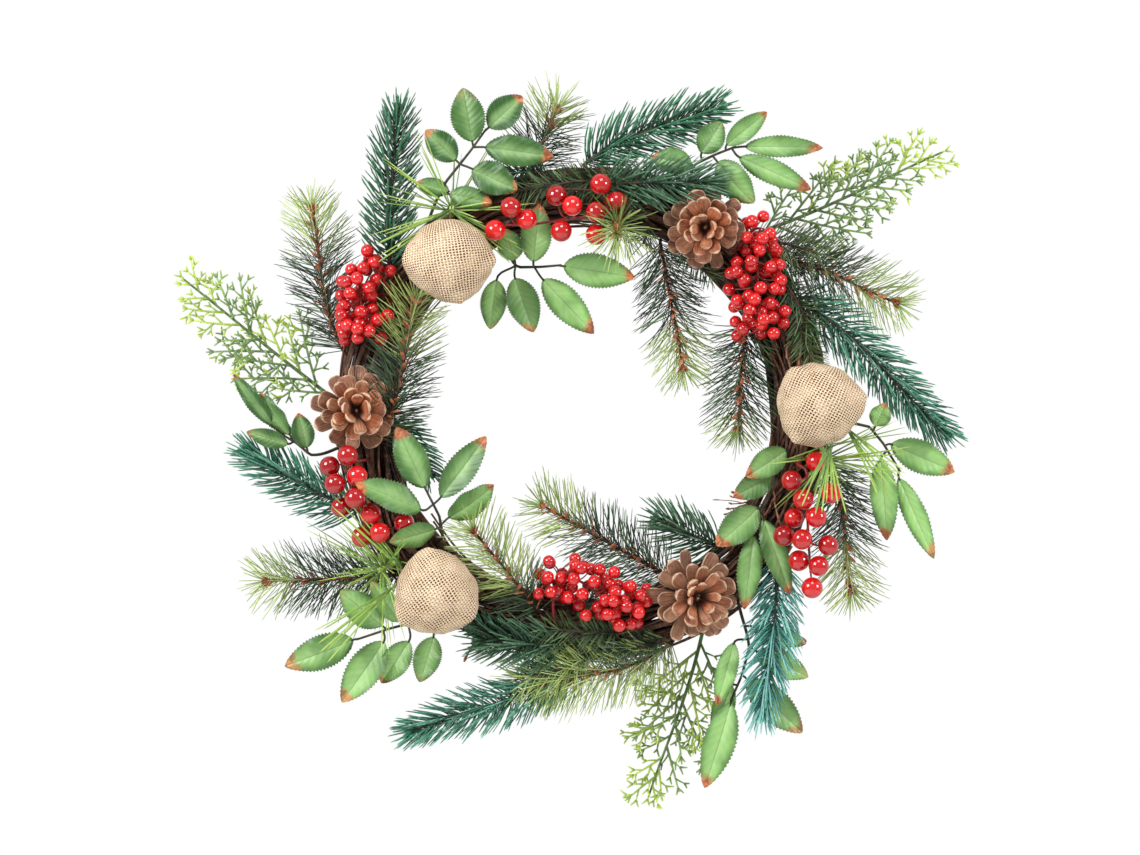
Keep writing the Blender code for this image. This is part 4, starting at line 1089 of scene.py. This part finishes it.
def add_scale(piece, lay, root, share, outward, wide, worn, rng):
    """One woody scale: a long tongue, narrow at its root, with a round end and a ridge along its back."""
    unruly = 10 + 8 * worn
    rise = math.radians(1 + 66 * share ** 1.6 + rng.uniform(-unruly, unruly))
    across = Matrix.Rotation(math.radians(rng.uniform(-14, 14)), 3, outward) @ outward.cross(FRONT)
    length = SCALE_LENGTH * (1 - 0.46 * share ** 1.4) * rng.uniform(0.84, 1.06)
    width = SCALE_WIDTH * (1 - 0.36 * share ** 2) * rng.uniform(0.78, 1.12) * wide
    recurve = rng.uniform(-0.3, 0.25) - 0.1 * share
    cup = rng.uniform(0.05, 0.3)
    tone = min(rng.random() * 0.8 + 0.3 * worn, 1.0)
    rings, growths = [], []
    travelled = 0.0
    for done in SCALE_RINGS:
        angle = rise - recurve * done ** 3
        up = turned(FRONT, -outward, angle)
        root = root + turned(outward, FRONT, angle) * length * (done - travelled)
        travelled = done
        half = width / 2 * (0.34 + 0.66 * smooth_step(0.0, 0.75, done))
        if done > 0.8:
            half *= math.sqrt(max(1 - ((done - 0.8) / 0.202) ** 3.2, 0.0))
        half = max(half, 0.5 * MM)
        thick = (1.0 + 1.3 * smooth_step(0.4, 0.86, done) - 0.9 * smooth_step(0.93, 1.0, done)) * MM
        ring, marks = [], []
        for side, face in SCALE_CORNERS:
            lift = face * thick / 2 + cup * half * (side * side) + 0.3 * MM * (side == 0) * face
            ring.append(lay(root + across * (side * half) + up * lift))
            # The back face takes 0.6 of the tone, which darkens it: painted shade under the scale.
            marks.append((done, tone * (0.6 if face < 0 else 1.0), share, abs(side)))
        rings.append(ring)
        growths.append(marks)
    piece.add_loft(rings, growths)


# Burlap balls

def make_ball(number, pinches, tilt):
    """A foam ball, and its cloth, pulled over it from the front and gathered behind."""
    foam_name = f"foam_ball_{number}"
    low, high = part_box(foam_name)
    centre = (low + high) / 2
    foam = Piece()
    foam.add_ball(centre, FOAM_RADIUS, FRONT, 20, 32, 0.5)
    foam.finish(f"foam_{number}", ["foam_beads"], [foam_name], "foam")
    turns = [math.radians(pinch) for pinch in pinches]
    corners = [Vector((math.sin(turn), -0.3, math.cos(turn))).normalized() for turn in turns]
    seed = Vector((number * 7.3, 0, 0))

    def cloth_point(polar, azimuth, inset):
        """A point of the cloth, by its angle from the front and its angle round it."""
        wide = math.sin(polar)
        way = Vector((wide * math.sin(azimuth), -math.cos(polar), wide * math.cos(azimuth)))
        radius = BALL_RADIUS
        for corner in corners:
            radius += BALL_RADIUS * 0.15 * math.exp(-(way.angle(corner) / 0.3) ** 1.2)
        ridges = sum(max(0.0, 1 - way.angle(corner) / 1.1) for corner in corners)
        radius -= BALL_RADIUS * 0.065 * (1 - min(ridges, 1.0)) * wide
        crease = noise(way * 3.1 + seed) * 1.4 * MM
        gather = smooth_step(GATHER_FROM, CLOTH_BACK, polar)
        folds = math.sin(azimuth * GATHER_FOLDS + 3 * noise(way * 1.7 + seed)) * gather
        radius += crease * wide + folds * 2.2 * MM - gather * 2.5 * MM
        return centre + way * (radius - inset)

    points, faces, flat = [], [], []
    for inset, row, column in product((0.0, CLOTH_THICKNESS), range(CLOTH_ROWS + 1), range(CLOTH_COLUMNS)):
        polar = CLOTH_BACK * row / CLOTH_ROWS
        azimuth = 2 * math.pi * column / CLOTH_COLUMNS
        points.append(cloth_point(max(polar, 0.004), azimuth, inset))
        reach = polar * BALL_RADIUS / THREAD_PITCH
        flat.append((reach * math.sin(azimuth + tilt) * WARP_SPREAD, reach * math.cos(azimuth + tilt)))
    sheet = (CLOTH_ROWS + 1) * CLOTH_COLUMNS
    for row, column in product(range(CLOTH_ROWS), range(CLOTH_COLUMNS)):
        a, b = [row * CLOTH_COLUMNS + k % CLOTH_COLUMNS for k in (column, column + 1)]
        c, d = a + CLOTH_COLUMNS, b + CLOTH_COLUMNS
        faces.append((a, c, d, b))
        faces.append((sheet + a, sheet + b, sheet + d, sheet + c))
    for column in range(CLOTH_COLUMNS):
        a, b = [CLOTH_ROWS * CLOTH_COLUMNS + k % CLOTH_COLUMNS for k in (column, column + 1)]
        faces.append((b, a, sheet + a, sheet + b))
    faces.append(tuple(range(CLOTH_COLUMNS)))
    faces.append(tuple(range(sheet + CLOTH_COLUMNS - 1, sheet - 1, -1)))
    frays = Piece()
    rng = draws("frays", number)
    for _ in range(FRAYED_THREADS):
        polar, azimuth = rng.uniform(0.5, 2.7), rng.uniform(0, 2 * math.pi)
        root = cloth_point(polar, azimuth, 0.2 * MM)
        outwards = (root - centre).normalized()
        along = scatter(rng).cross(outwards).normalized()
        length = rng.uniform(1.5, 5.0) * MM
        lift = rng.uniform(0.2, 0.7)
        strand = []
        for done, _ in FRAY_RADII:
            strand.append(root + (along * done + outwards * lift * done * (1.3 - done)) * length)
        frays.add_tube(strand, [radius * MM for _, radius in FRAY_RADII], 4, tone=rng.random())
    loose_ends = frays.finish(f"frays_{number}", ["frayed_thread"], [], "burlap")
    obj = mesh_object(f"burlap_{number}", points, faces, ["burlap_weave"])
    cloth = obj.data.uv_layers.new(name="cloth")
    for loop in obj.data.loops:
        cloth.data[loop.index].uv = flat[loop.vertex_index]
    dress(obj, [f"burlap_wrap_{number}"])


# Berries

def berry_centres(solid, radius):
    """Centres of the balls in a solid: each of a ball's facets points straight at its centre."""
    edge = radius * FACET_EDGE
    groups = []
    for face in solid.faces:
        corners = [solid.corners[k] for k in face]
        sides = [(corners[k] - corners[k - 1]).length for k in range(len(corners))]
        if len(corners) != 3 or max(abs(side - edge) for side in sides) > edge * 0.02:
            continue
        normal = (corners[1] - corners[0]).cross(corners[2] - corners[0]).normalized()
        centre = sum(corners, Vector()) / 3 - normal * (radius * FACET_INSET)
        group = next((found for found in groups if (found[0] - centre).length < MM), None)
        if group:
            group.append(centre)
        else:
            groups.append([centre])
    return [sum(found, Vector()) / len(found) for found in groups if len(found) > 8]


def add_stalk(piece, line, centre, size, rng):
    """A thin curved stalk from the stem to a berry. Returns its direction at the berry."""
    distance = max(line.nearest(centre) - size["back"], 2 * MM)
    root = line.at(distance)
    span = (centre - root).length
    bend = line.heading(distance) * span * 0.3 + FRONT * rng.uniform(-0.1, 0.15) * span
    arrive = (centre - (root + bend)).normalized()
    end = centre - arrive * size["radius"] * 0.93
    points = interpolate_bezier(root, root + bend, end - arrive * span * 0.25, end, 8)
    piece.add_tube(points, tapered(size["stalk"], 8, 0.25), 6, tone=rng.random(), slot=1)
    return arrive


def crowd_berries(centres, line, first, radius, widths, wanted, others, rng):
    """Adds berries in the free room round a stem, until there are as many as wanted."""
    low, middle, high = widths
    for _ in range(CROWDING_TRIES):
        if len(centres) >= wanted:
            break
        share = rng.random()
        distance = first + (line.length - first) * share
        if share < 0.7:
            reach = low + (middle - low) * share / 0.7
        else:
            reach = middle + (high - middle) * (share - 0.7) / 0.3
        heading = line.heading(distance)
        way = turned(heading.cross(FRONT).normalized(), FRONT, rng.uniform(0, 2 * math.pi))
        centre = line.at(distance) + way * rng.uniform(0.35, 1.0) * reach * MM
        centre = centre + heading * rng.uniform(-2, 3) * MM
        if any((centre - other).length < radius * 1.85 for other in centres):
            continue
        if not any(solid.near(centre, radius * 0.95) for solid in others):
            centres.append(centre)


def make_pick(kind, number, start, knots, widths=None, wanted=0):
    """A branching stem with glossy berries: those of its solid, and in a small pick others between them."""
    size = BERRIES[kind]
    piece, line, name, rng = begin(f"{kind}_berry_pick", number, start, knots, BERRY_STEM_RADIUS,
                                   STEM_STEP, 0.45, thick=1.15, spare=1)
    centres = berry_centres(solids[name], size["radius"])
    if wanted:
        others = [solids[n] for n in solids if n != name and not n.startswith(SOFT_NAMES)]
        first = line.nearest(place(*knots[0])) * 0.75
        crowd_berries(centres, line, first, size["radius"], widths, wanted, others, rng)
    darkest, tones = size["tones"]
    for centre in centres:
        arrive = add_stalk(piece, line, centre, size, rng)
        radius = size["radius"] * rng.uniform(*size["vary"])
        piece.add_ball(centre, radius, arrive, *size["mesh"], darkest + tones * rng.random(), size["dent"])
    piece.finish(f"{kind}_berries_{number}", ["berry_skin", "berry_stem"], [name], "berry")


# Leaves

def leaf_width(share):
    """Half the blade's width along it, as a share of its widest: a rounded oval with a pointed tip."""
    return max(math.sin(math.pi * share ** 0.85), 0) ** 0.7


def leaf_surface(base, tip, width, facing, fold, arch):
    """The blade as a function from side, -1 to 1, and share of the length, 0 to 1, to a point."""
    length = (tip - base).length
    along = (tip - base).normalized()
    across = along.cross(facing).normalized()
    up = across.cross(along)

    def point(side, share, lift=0.0):
        half = max(width / 2 * leaf_width(share), 0.5 * MM)
        rise = fold * abs(side) * half + arch * length * (0.25 - (share - 0.5) ** 2) + lift
        return base + along * length * share + across * side * half + up * rise

    return point


def matching_leaf(solid, base, tip, width, fold, arch):
    """Of the ways in which the blade may be lifted and rolled, the one whose margins are corners of the
    solid, and how far off it is."""
    best, closest = None, 1.0
    for lift in LEAF_LIFTS:
        raised = tip + FRONT * lift * MM
        if solid.tree.find_nearest(raised)[3] > 2.5 * MM:
            continue
        for roll in LEAF_ROLLS:
            facing = Matrix.Rotation(math.radians(roll), 3, (raised - base).normalized()) @ FRONT
            surface = leaf_surface(base, raised, width * MM, facing, fold, arch)
            margins = [surface(side * tooth, share) for share, tooth in LEAF_ROWS for side in (1, -1)]
            miss = sum(min((corner - margin).length for corner in solid.corners) for margin in margins)
            if miss < closest:
                best, closest = surface, miss
    return best, closest / (2 * len(LEAF_ROWS))


def add_leaf(piece, surface, tone, burnt, rng):
    """A thin blade with toothed margins, a sunk midrib, raised side veins and a rippled edge."""
    rows = 2 * LEAF_TEETH + 2
    phase = rng.uniform(0, 6)
    ripple = rng.uniform(0.4, 1.1) * MM
    curl = rng.uniform(-2.6, 1.0)
    rings, growths = [], []
    corners = [(side, 1) for side in LEAF_COLUMNS] + [(side, -1) for side in LEAF_COLUMNS[-2:0:-1]]
    for row in range(rows):
        share = row / rows
        tooth = (1.06 if row % 2 else 0.95) if 1 < row < rows - 1 else 1.0
        ring, marks = [], []
        for side, face in reversed(corners):
            edge = abs(side)
            lift = math.sin(2 * math.pi * (8 * share - 1.6 * edge)) * 0.08 * MM * math.sin(math.pi * edge)
            lift += ripple * edge * edge * math.sin(16 * share + phase * (1 if side > 0 else -1))
            lift -= 0.3 * MM * math.exp(-((side / 0.1) ** 2))
            lift += curl * edge ** 3 * MM + face * 0.28 * MM * (1 - edge ** 4)
            ring.append(surface(side * (tooth if edge == 1 else 1), share, lift))
            marks.append((share, tone, burnt, edge))
        rings.append(ring)
        growths.append(marks)
    piece.add_loft(rings, growths, tip=surface(0, 1.0))


def make_leaf_spray(number, start, knots, leaves):
    """A dark stem with its leaves on short stalks."""
    piece, line, name, rng = begin("leaf_spray", number, start, knots, LEAF_STEM_RADIUS, STEM_STEP, 0.4,
                                   thick=1.1, spare=1)
    finish = draws("leaves", number)
    for x, z, tip_x, tip_z, forward, width in leaves:
        fold = rng.uniform(0.15, 0.4)
        arch = rng.uniform(0.05, 0.25)
        base = place(x, z, forward)
        tip = place(tip_x, tip_z, forward)
        distance = min(max(line.nearest(base) - 2 * MM, 3 * MM), line.length - 2 * MM)
        best, closest, seat = None, 1.0, None
        for shift in LEAF_SHIFTS:
            stem_point = line.at(distance + shift * MM)
            root = Vector((base.x, stem_point.y * 0.6 + base.y * 0.4, base.z))
            if (root - stem_point).length < SHORTEST_STALK:
                root = stem_point + (tip - stem_point).normalized() * SHORTEST_STALK
            surface, miss = matching_leaf(solids[name], root, tip, width, fold, arch)
            if surface and miss < closest:
                best, closest, seat = surface, miss, stem_point
        burnt = finish.choice((1.0, 1.0, 0.8, 0.25))
        tone = min(max(LEAF_TONES[number - 1] + finish.uniform(-0.25, 0.25), 0.0), 1.0)
        add_leaf(piece, best, tone, burnt, finish)
        root = best(0, 0.0)
        bend = (best(0, 0.1) - root).normalized() * (root - seat).length * 0.4
        stalk = interpolate_bezier(seat, seat.lerp(root, 0.4), root - bend, best(0, 0.03), 6)
        piece.add_tube(stalk, [LEAF_STALK_RADIUS] * 6, 6, slot=1)
    piece.finish(f"leaves_{number}", ["leaf_blade", "leaf_stem"], [name], "leaf")


# Needles

def add_needle(piece, needle, root, way, length, width, bend, tone, share):
    """A needle with a blunt end that curves towards the bend."""
    shares = (0, 0.3, 0.62, 0.93, 1)
    points = [root + way * (length * done) + bend * (length * done * done) for done in shares]
    radii = [width * 0.8, width, width, width * 0.7, 0]
    piece.add_tube(points, radii, needle["sides"], tone, share, flat=needle["thin"], facing=way.orthogonal(),
                   pointed=True)


def clear_needle(root, way, length, bend, obstacles):
    """A direction and length for a needle that keeps it out of its neighbours, or none."""
    for lift, reach in NEEDLE_TRIES:
        tried = (way + FRONT * lift).normalized() if lift else way
        end = root + tried * (length * reach) + bend * (length * reach)
        middle = root + tried * (length * reach * 0.5) + bend * (length * reach * 0.25)
        if within(end) and not crosses([root + tried * 1.5 * MM, middle, end], obstacles):
            return tried, length * reach
    return None, 0


def grow_needles(piece, line, needle, rng, tint=lambda share: share):
    """Needles all along a stem, by the same rule as the solid's own, each turned by the golden angle."""
    reach = Vector((1, 1, 1)) * needle["needle"]
    low, high = box_of(line.points)
    obstacles = neighbours(low - reach, high + reach)
    count = round((line.length - NEEDLES_FROM) / needle["step"])
    across = line.heading(0).orthogonal().normalized()
    first, last = needle["lean"]
    spread = needle["spread"]
    for index in range(count):
        share = index / count
        distance = NEEDLES_FROM + (line.length - NEEDLES_FROM) * share
        heading = line.heading(distance)
        across = (across - heading * across.dot(heading)).normalized()
        outward = turned(across, heading.cross(across), index * GOLDEN_ANGLE + rng.uniform(-0.3, 0.3))
        lean = math.radians(first + (last - first) * share ** 3 + rng.uniform(-spread, spread))
        lean *= 1 - 0.15 * max(outward.dot(FRONT), 0.0)
        squeeze = needle["flat"] if abs(heading.dot(FRONT)) < 0.6 else 1
        way = turned(heading, outward, lean)
        way.y *= squeeze
        way.normalize()
        length = needle["needle"] * needle["shape"](share) * rng.uniform(0.84, 1.06)
        wander = scatter(rng) * 0.08
        bend = heading * rng.uniform(*needle["hook"]) + wander
        tone = rng.random()
        if outward.dot(FRONT) > 0.6 and squeeze < 1 and rng.random() > needle["front"]:
            continue
        if rng.random() < needle["sparse"] * share ** 2:
            continue
        root = line.at(distance) + outward * needle["stem"] * 0.6
        clear, reach = clear_needle(root, way, length, bend, obstacles)
        if clear:
            width = needle["width"] * rng.uniform(0.85, 1.15)
            add_needle(piece, needle, root, clear, reach, width, bend, tone, tint(share))


def add_end_needles(piece, line, needle, rng):
    """The brush of shorter needles at a spray's end."""
    end, heading = line.at(line.length), line.heading(line.length)
    count, lean, more, short, vary, curl = needle["end"]
    for k, outward in enumerate(spiral(heading, count)):
        way = (heading + outward * (lean + more * k / count)).normalized()
        length = needle["needle"] * short * rng.uniform(*vary)
        add_needle(piece, needle, end, way, length, needle["width"], outward * curl, rng.random(), 1.0)


def make_fir(number, start, tip, paint):
    """A moulded spray with thick needles and a knobbly stem."""
    piece, line, name, rng = begin("fir_spray", number, start, [tip], FIR["stem"], NEEDLE_STEM_STEP, 0.4,
                                   knobs=0.2)
    grow_needles(piece, line, FIR, rng)
    add_end_needles(piece, line, FIR, rng)
    piece.finish(f"fir_{number}", [paint, "fir_stem"], [name], "fir")


def make_sprig(number, start, tip, kind, paint, longer):
    """A short sprig close to the ring, which no solid stands for."""
    rng = draws("sprig", number)
    full = FIR if kind == "fir" else PINE
    stem = SPRIG_STEM_RADIUS
    needle = dict(full, needle=full["needle"] * longer, step=full["step"] * 1.2, stem=stem)
    root = seat_on_ring(*start, stem)
    end = place(*tip)
    lead = root + ring_side(*start) * (end - root).length * 0.2 + (end - root) * 0.25
    points = interpolate_bezier(root, lead, root.lerp(end, 0.7) + FRONT * 3 * MM, end, STEM_POINTS)
    line = Line([p.copy() for p in points])
    piece = Piece()
    piece.add_stem(line, NEEDLE_STEM_STEP, stem, 0.4, spare=1)
    if kind == "fir":
        grow_needles(piece, line, needle, rng)
        piece.finish(f"sprig_{number}", [paint, "fir_stem"], [], "fir")
    else:
        grow_needles(piece, line, needle, rng, lambda share: paint + 0.4 * share * rng.random())
        piece.finish(f"sprig_{number}", ["pine_needle", "pine_stem"], [], "pine")


def make_loose_twigs():
    """Thin twig ends that have come free of the bundle, each with a small bud."""
    rng = draws("loose_twigs")
    piece = Piece()
    for start, knots, width in LOOSE_TWIGS:
        radius = width * MM
        root = seat_on_ring(*start, radius) - ring_side(*start) * 1.5 * MM
        corners = [root] + [place(*knot) for knot in knots]
        middle = corners[1] if len(corners) > 2 else root.lerp(corners[-1], 0.5)
        handles = (root.lerp(middle, 0.8), middle.lerp(corners[-1], 0.4))
        points = interpolate_bezier(root, *handles, corners[-1], LOOSE_TWIG_POINTS)
        points = [point + scatter(rng) * 0.5 * MM for point in points]
        radii = tapered(radius, LOOSE_TWIG_POINTS, 0.4)
        radii[-2] = radius * 1.25
        piece.add_tube(points, radii, 7)
    piece.finish("loose_twigs", ["twig_end"], [], "vine")


def make_pine(number, start, tip, turn):
    """A spray with long thin needles, which are yellow-green from a share of its length on."""
    piece, line, name, rng = begin("pine_spray", number, start, [tip], PINE["stem"], NEEDLE_STEM_STEP, 0.35)

    def tint(share):
        return smooth_step(turn - 0.12, turn + 0.15, share + rng.uniform(-0.06, 0.06))

    grow_needles(piece, line, dict(PINE, sparse=PINE["sparse"] if turn > 0.2 else 0.0), rng, tint)
    add_end_needles(piece, line, PINE, rng)
    add_bracts(piece, line, rng)
    piece.finish(f"pine_{number}", ["pine_needle", "pine_stem", "pine_bract"], [name], "pine")


def add_bracts(piece, line, rng):
    """Papery scales along the front and sides of a pine stem, and a bud of them at its end."""
    distance = BRACTS_FROM
    index = 0
    while distance < line.length - 3 * MM:
        heading = line.heading(distance)
        side = heading.cross(FRONT).normalized()
        outward = turned(side, side.cross(heading), math.pi * (0.15 + 0.7 * ((index * 0.618) % 1)))
        way = (heading * rng.uniform(0.5, 1.1) + outward).normalized()
        root = line.at(distance) + outward * PINE["stem"] * 0.5
        add_flake(piece, root, way, outward, rng.uniform(4.4, 8.4) * MM, rng)
        distance += rng.uniform(2.6, 5.2) * MM
        index += 1
    end, heading = line.at(line.length), line.heading(line.length)
    for k, outward in enumerate(spiral(heading, END_BRACTS)):
        way = (heading * (0.5 + 0.2 * k) + outward).normalized()
        add_flake(piece, end - heading * 2 * MM, way, outward, 5.5 * MM, rng)


def add_flake(piece, root, way, facing, length, rng):
    """A small curled flake of papery bark."""
    curl = rng.uniform(0.1, 0.45)
    points = [root + way * length * done + facing * length * curl * done * done for done in (0, 0.3, 0.7, 1)]
    width = length * rng.uniform(0.2, 0.32)
    radii = [width * 0.8, width, width * 0.7, 0]
    piece.add_tube(points, radii, 6, tone=rng.random(), slot=2, flat=0.3, facing=facing, pointed=True)


# Grass

def add_blade(piece, root, span, reach, profile, vary, rng):
    """A straight flat blade that grows from its root over a share of the span."""
    width = GRASS_WIDTH * rng.uniform(*vary)
    points = [root + span * (reach * done) for done, _ in profile]
    radii = [width * wide for _, wide in profile]
    piece.add_tube(points, radii, 5, tone=rng.random(), flat=0.45, pointed=True)


def make_grass(number, start, tip):
    """A tuft of straight stiff blades: those of its solid, whose tips are the corners that lie far from its
    stem, and a few more beside them."""
    piece, line, name, rng = begin("grass_tuft", number, start, [tip], GRASS_STEM_RADIUS, 2 * MM, 0,
                                   thick=0.9, slot=0)
    tips = []
    for corner in solids[name].corners:
        far = (corner - line.at(line.nearest(corner))).length > BLADE_REACH
        if far and all((corner - other).length > MM for other in tips):
            tips.append(corner)
    for corner in tips:
        distance = min(line.nearest(corner), line.length - MM)
        for extra in range(2):
            root = line.at(max(distance - rng.uniform(0, 5) * MM, 0))
            aim = corner + scatter(rng) * extra * 7 * MM
            reach = rng.uniform(0.82, 1.0) if extra else 1.0
            add_blade(piece, root, aim - root, reach, TUFT_BLADE, (0.7, 1.1), rng)
    piece.finish(f"grass_{number}", ["grass_blade"], [name], "grass")


def make_grass_fans():
    """Longer blades that hang loose in front of the berries and leaves."""
    rng = draws("grass_fans")
    piece = Piece()
    for foot, tip, spread, blades in GRASS_FANS:
        root = place(*foot)
        for blade in range(blades):
            turn = math.radians(spread * (blade / (blades - 1) - 0.5) + rng.uniform(-2, 2))
            span = Matrix.Rotation(turn, 3, FRONT) @ (place(*tip) - root) * rng.uniform(0.78, 1.08)
            start = root + Vector((rng.uniform(-1, 1), 0, rng.uniform(-1, 1))) * 1.6 * MM
            add_blade(piece, start, span, 1, FAN_BLADE, (0.8, 1.15), rng)
    piece.finish("grass_fans", ["grass_blade"], [], "grass")


# Cedar fronds

def add_twig(piece, points, radius, tone, slot):
    piece.add_tube(points, tapered(radius, len(points), 0.35), 5, tone=tone, slot=slot, flat=0.7)


def add_fork(piece, root, way, length, rng, slot, depth):
    """A twig that ends in a small fork, with shorter forked twigs along it while depth lasts."""
    sideways = way.cross(FRONT).normalized()
    curve = sideways * rng.uniform(-0.12, 0.12)
    points = [root + way * length * done + curve * length * done * done for done in (0, 0.34, 0.67, 1)]
    tone = rng.random()
    add_twig(piece, points, CEDAR_TWIG_RADIUS + 0.1 * depth * MM, tone, slot)
    end = points[-1]
    heading = (points[-1] - points[-2]).normalized()
    for turn in (-1, 1, 0) if depth else (-1, 1):
        tip_way = heading + sideways * turn * rng.uniform(0.55, 0.85) + FRONT * rng.uniform(-0.1, 0.1)
        tip_way.normalize()
        reach = rng.uniform(2.4, 5.2) * MM
        tip_points = [end - heading * 0.3 * MM, end + tip_way * reach * 0.5, end + tip_way * reach]
        add_twig(piece, tip_points, CEDAR_TIP_RADIUS, tone, slot)
    if not depth:
        return
    turn = rng.choice((-1, 1))
    distance = 0.18 * length
    while distance < length * 0.93:
        base = root + way * distance + curve * length * (distance / length) ** 2
        twig_way = (way * 0.75 + sideways * turn * 0.68 + FRONT * rng.uniform(-0.18, 0.18)).normalized()
        reach = (length * 0.27 * (1 - 0.5 * distance / length) + 2 * MM) * rng.uniform(0.55, 1.35)
        tip_slot = 1 if distance > 0.7 * length and rng.random() < 0.5 else slot
        add_fork(piece, base, twig_way, reach, rng, tip_slot, depth - 1 if reach > 9 * MM else 0)
        distance += rng.uniform(4.4, 6.4) * MM
        turn = -turn


def make_cedar(number, start, tip, lime_share):
    """A flat frond of forked twigs, yellow-green towards its end and on a few whole branches."""
    piece, line, name, rng = begin("cedar_spray", number, start, [tip], CEDAR_STEM_RADIUS, 4 * MM, 0.5,
                                   slot=2, flat=0.8)
    obstacles = neighbours(solids[name].low, solids[name].high)
    distance = CEDAR_BARE_STEM
    turn = -1
    while distance < line.length - 5 * MM:
        share = distance / line.length
        heading = line.heading(distance)
        outward = heading.cross(FRONT).normalized() * turn
        way = heading * 0.8 + outward * rng.uniform(0.45, 0.7) + FRONT * rng.uniform(-0.16, 0.16)
        way.normalize()
        reach = CEDAR_BRANCH * (1 - 0.66 * share ** 1.2) * rng.uniform(0.6, 1.05)
        root = line.at(distance)
        while reach > 8 * MM and (not within(root + way * (reach + 3 * MM)) or crosses(
                [root + way * 2 * MM, root + way * reach * 0.5, root + way * reach], obstacles)):
            reach *= 0.8
        lime = share > 0.72 or rng.random() < lime_share * (1.0 if share < 0.4 else 0.35)
        add_fork(piece, root, way, reach, rng, 1 if lime else 0, 1 if reach < 22 * MM else 2)
        distance += CEDAR_STEP * rng.uniform(0.75, 1.15)
        turn = -turn
    add_fork(piece, line.at(line.length), line.heading(line.length), 3 * MM, rng, 1, 0)
    piece.finish(f"cedar_{number}", ["cedar_twig", "cedar_lime", "cedar_stem"], [name], "cedar")


# Stage

def make_surround(tree):
    """A surround that is white behind the wreath, and a dimmer room in front of it."""
    way = add_node(tree, "TexCoord").outputs["Generated"]
    depth = add_node(tree, "SeparateXYZ", {0: way}).outputs["Y"]
    background = tree.nodes["Background"]
    tree.links.new(add_range(tree, depth, -0.5, 0.8, 0.4, 1.0), background.inputs["Strength"])
    background.inputs["Color"].default_value = (1, 1, 1, 1)


def make_stage():
    """A pale floor below, a white surround, softboxes to the left and right, one above, and the camera."""
    scene = bpy.context.scene
    scene.view_settings.view_transform = "Standard"
    scene.world = bpy.data.worlds.new("white")
    scene.world.use_nodes = True
    make_surround(scene.world.node_tree)
    paint = bpy.data.materials.new("floor")
    paint.use_nodes = True
    surface = paint.node_tree.nodes["Principled BSDF"]
    surface.inputs["Base Color"].default_value = (0.8, 0.8, 0.79, 1)
    surface.inputs["Roughness"].default_value = 0.7
    rim = [Vector((c, s, 0)) * FLOOR_RADIUS for c, s in circle(FLOOR_CORNERS)]
    floor = mesh_object("floor", rim, [tuple(range(FLOOR_CORNERS))], ["floor"])
    floor.location = RING_CENTRE - Vector((0, 0, FLOOR_DROP))
    for name, azimuth, elevation, distance, size, power in SOFTBOXES:
        a, e = math.radians(azimuth), math.radians(elevation)
        way = Vector((math.sin(a) * math.cos(e), -math.cos(a) * math.cos(e), math.sin(e)))
        light = bpy.data.lights.new(name, "AREA")
        light.shape = "SQUARE"
        light.size = size
        light.energy = power
        softbox = link_object(name, light)
        softbox.location = RING_CENTRE + way * distance
        softbox.rotation_euler = (-way).to_track_quat("-Z", "Y").to_euler()
    camera = bpy.data.cameras.new("camera")
    camera.lens = CAMERA_LENS
    scene.camera = link_object("camera", camera)
    scene.camera.location = RING_CENTRE + Vector((CAMERA_ACROSS, -CAMERA_DISTANCE, CAMERA_UP))
    scene.camera.rotation_euler = (math.radians(90), 0, 0)


def make_each(maker, rows):
    """A piece from each row, numbered from 1."""
    for number, row in enumerate(rows, 1):
        maker(number, *row)


make_stage()
make_materials()
for vine in range(VINE_COUNT):
    make_vine(vine)
make_core()
make_each(make_cone, CONES)
make_each(make_ball, BALLS)
for kind, picks in (("large", LARGE_PICKS), ("small", SMALL_PICKS)):
    for number, pick in enumerate(picks, 1):
        make_pick(kind, number, *pick)
make_each(make_leaf_spray, LEAF_SPRAYS)
make_each(make_fir, FIR_SPRAYS)
make_each(make_sprig, SPRIGS)
make_loose_twigs()
make_each(make_pine, PINE_SPRAYS)
make_each(make_grass, GRASS_TUFTS)
make_grass_fans()
make_each(make_cedar, CEDAR_SPRAYS)
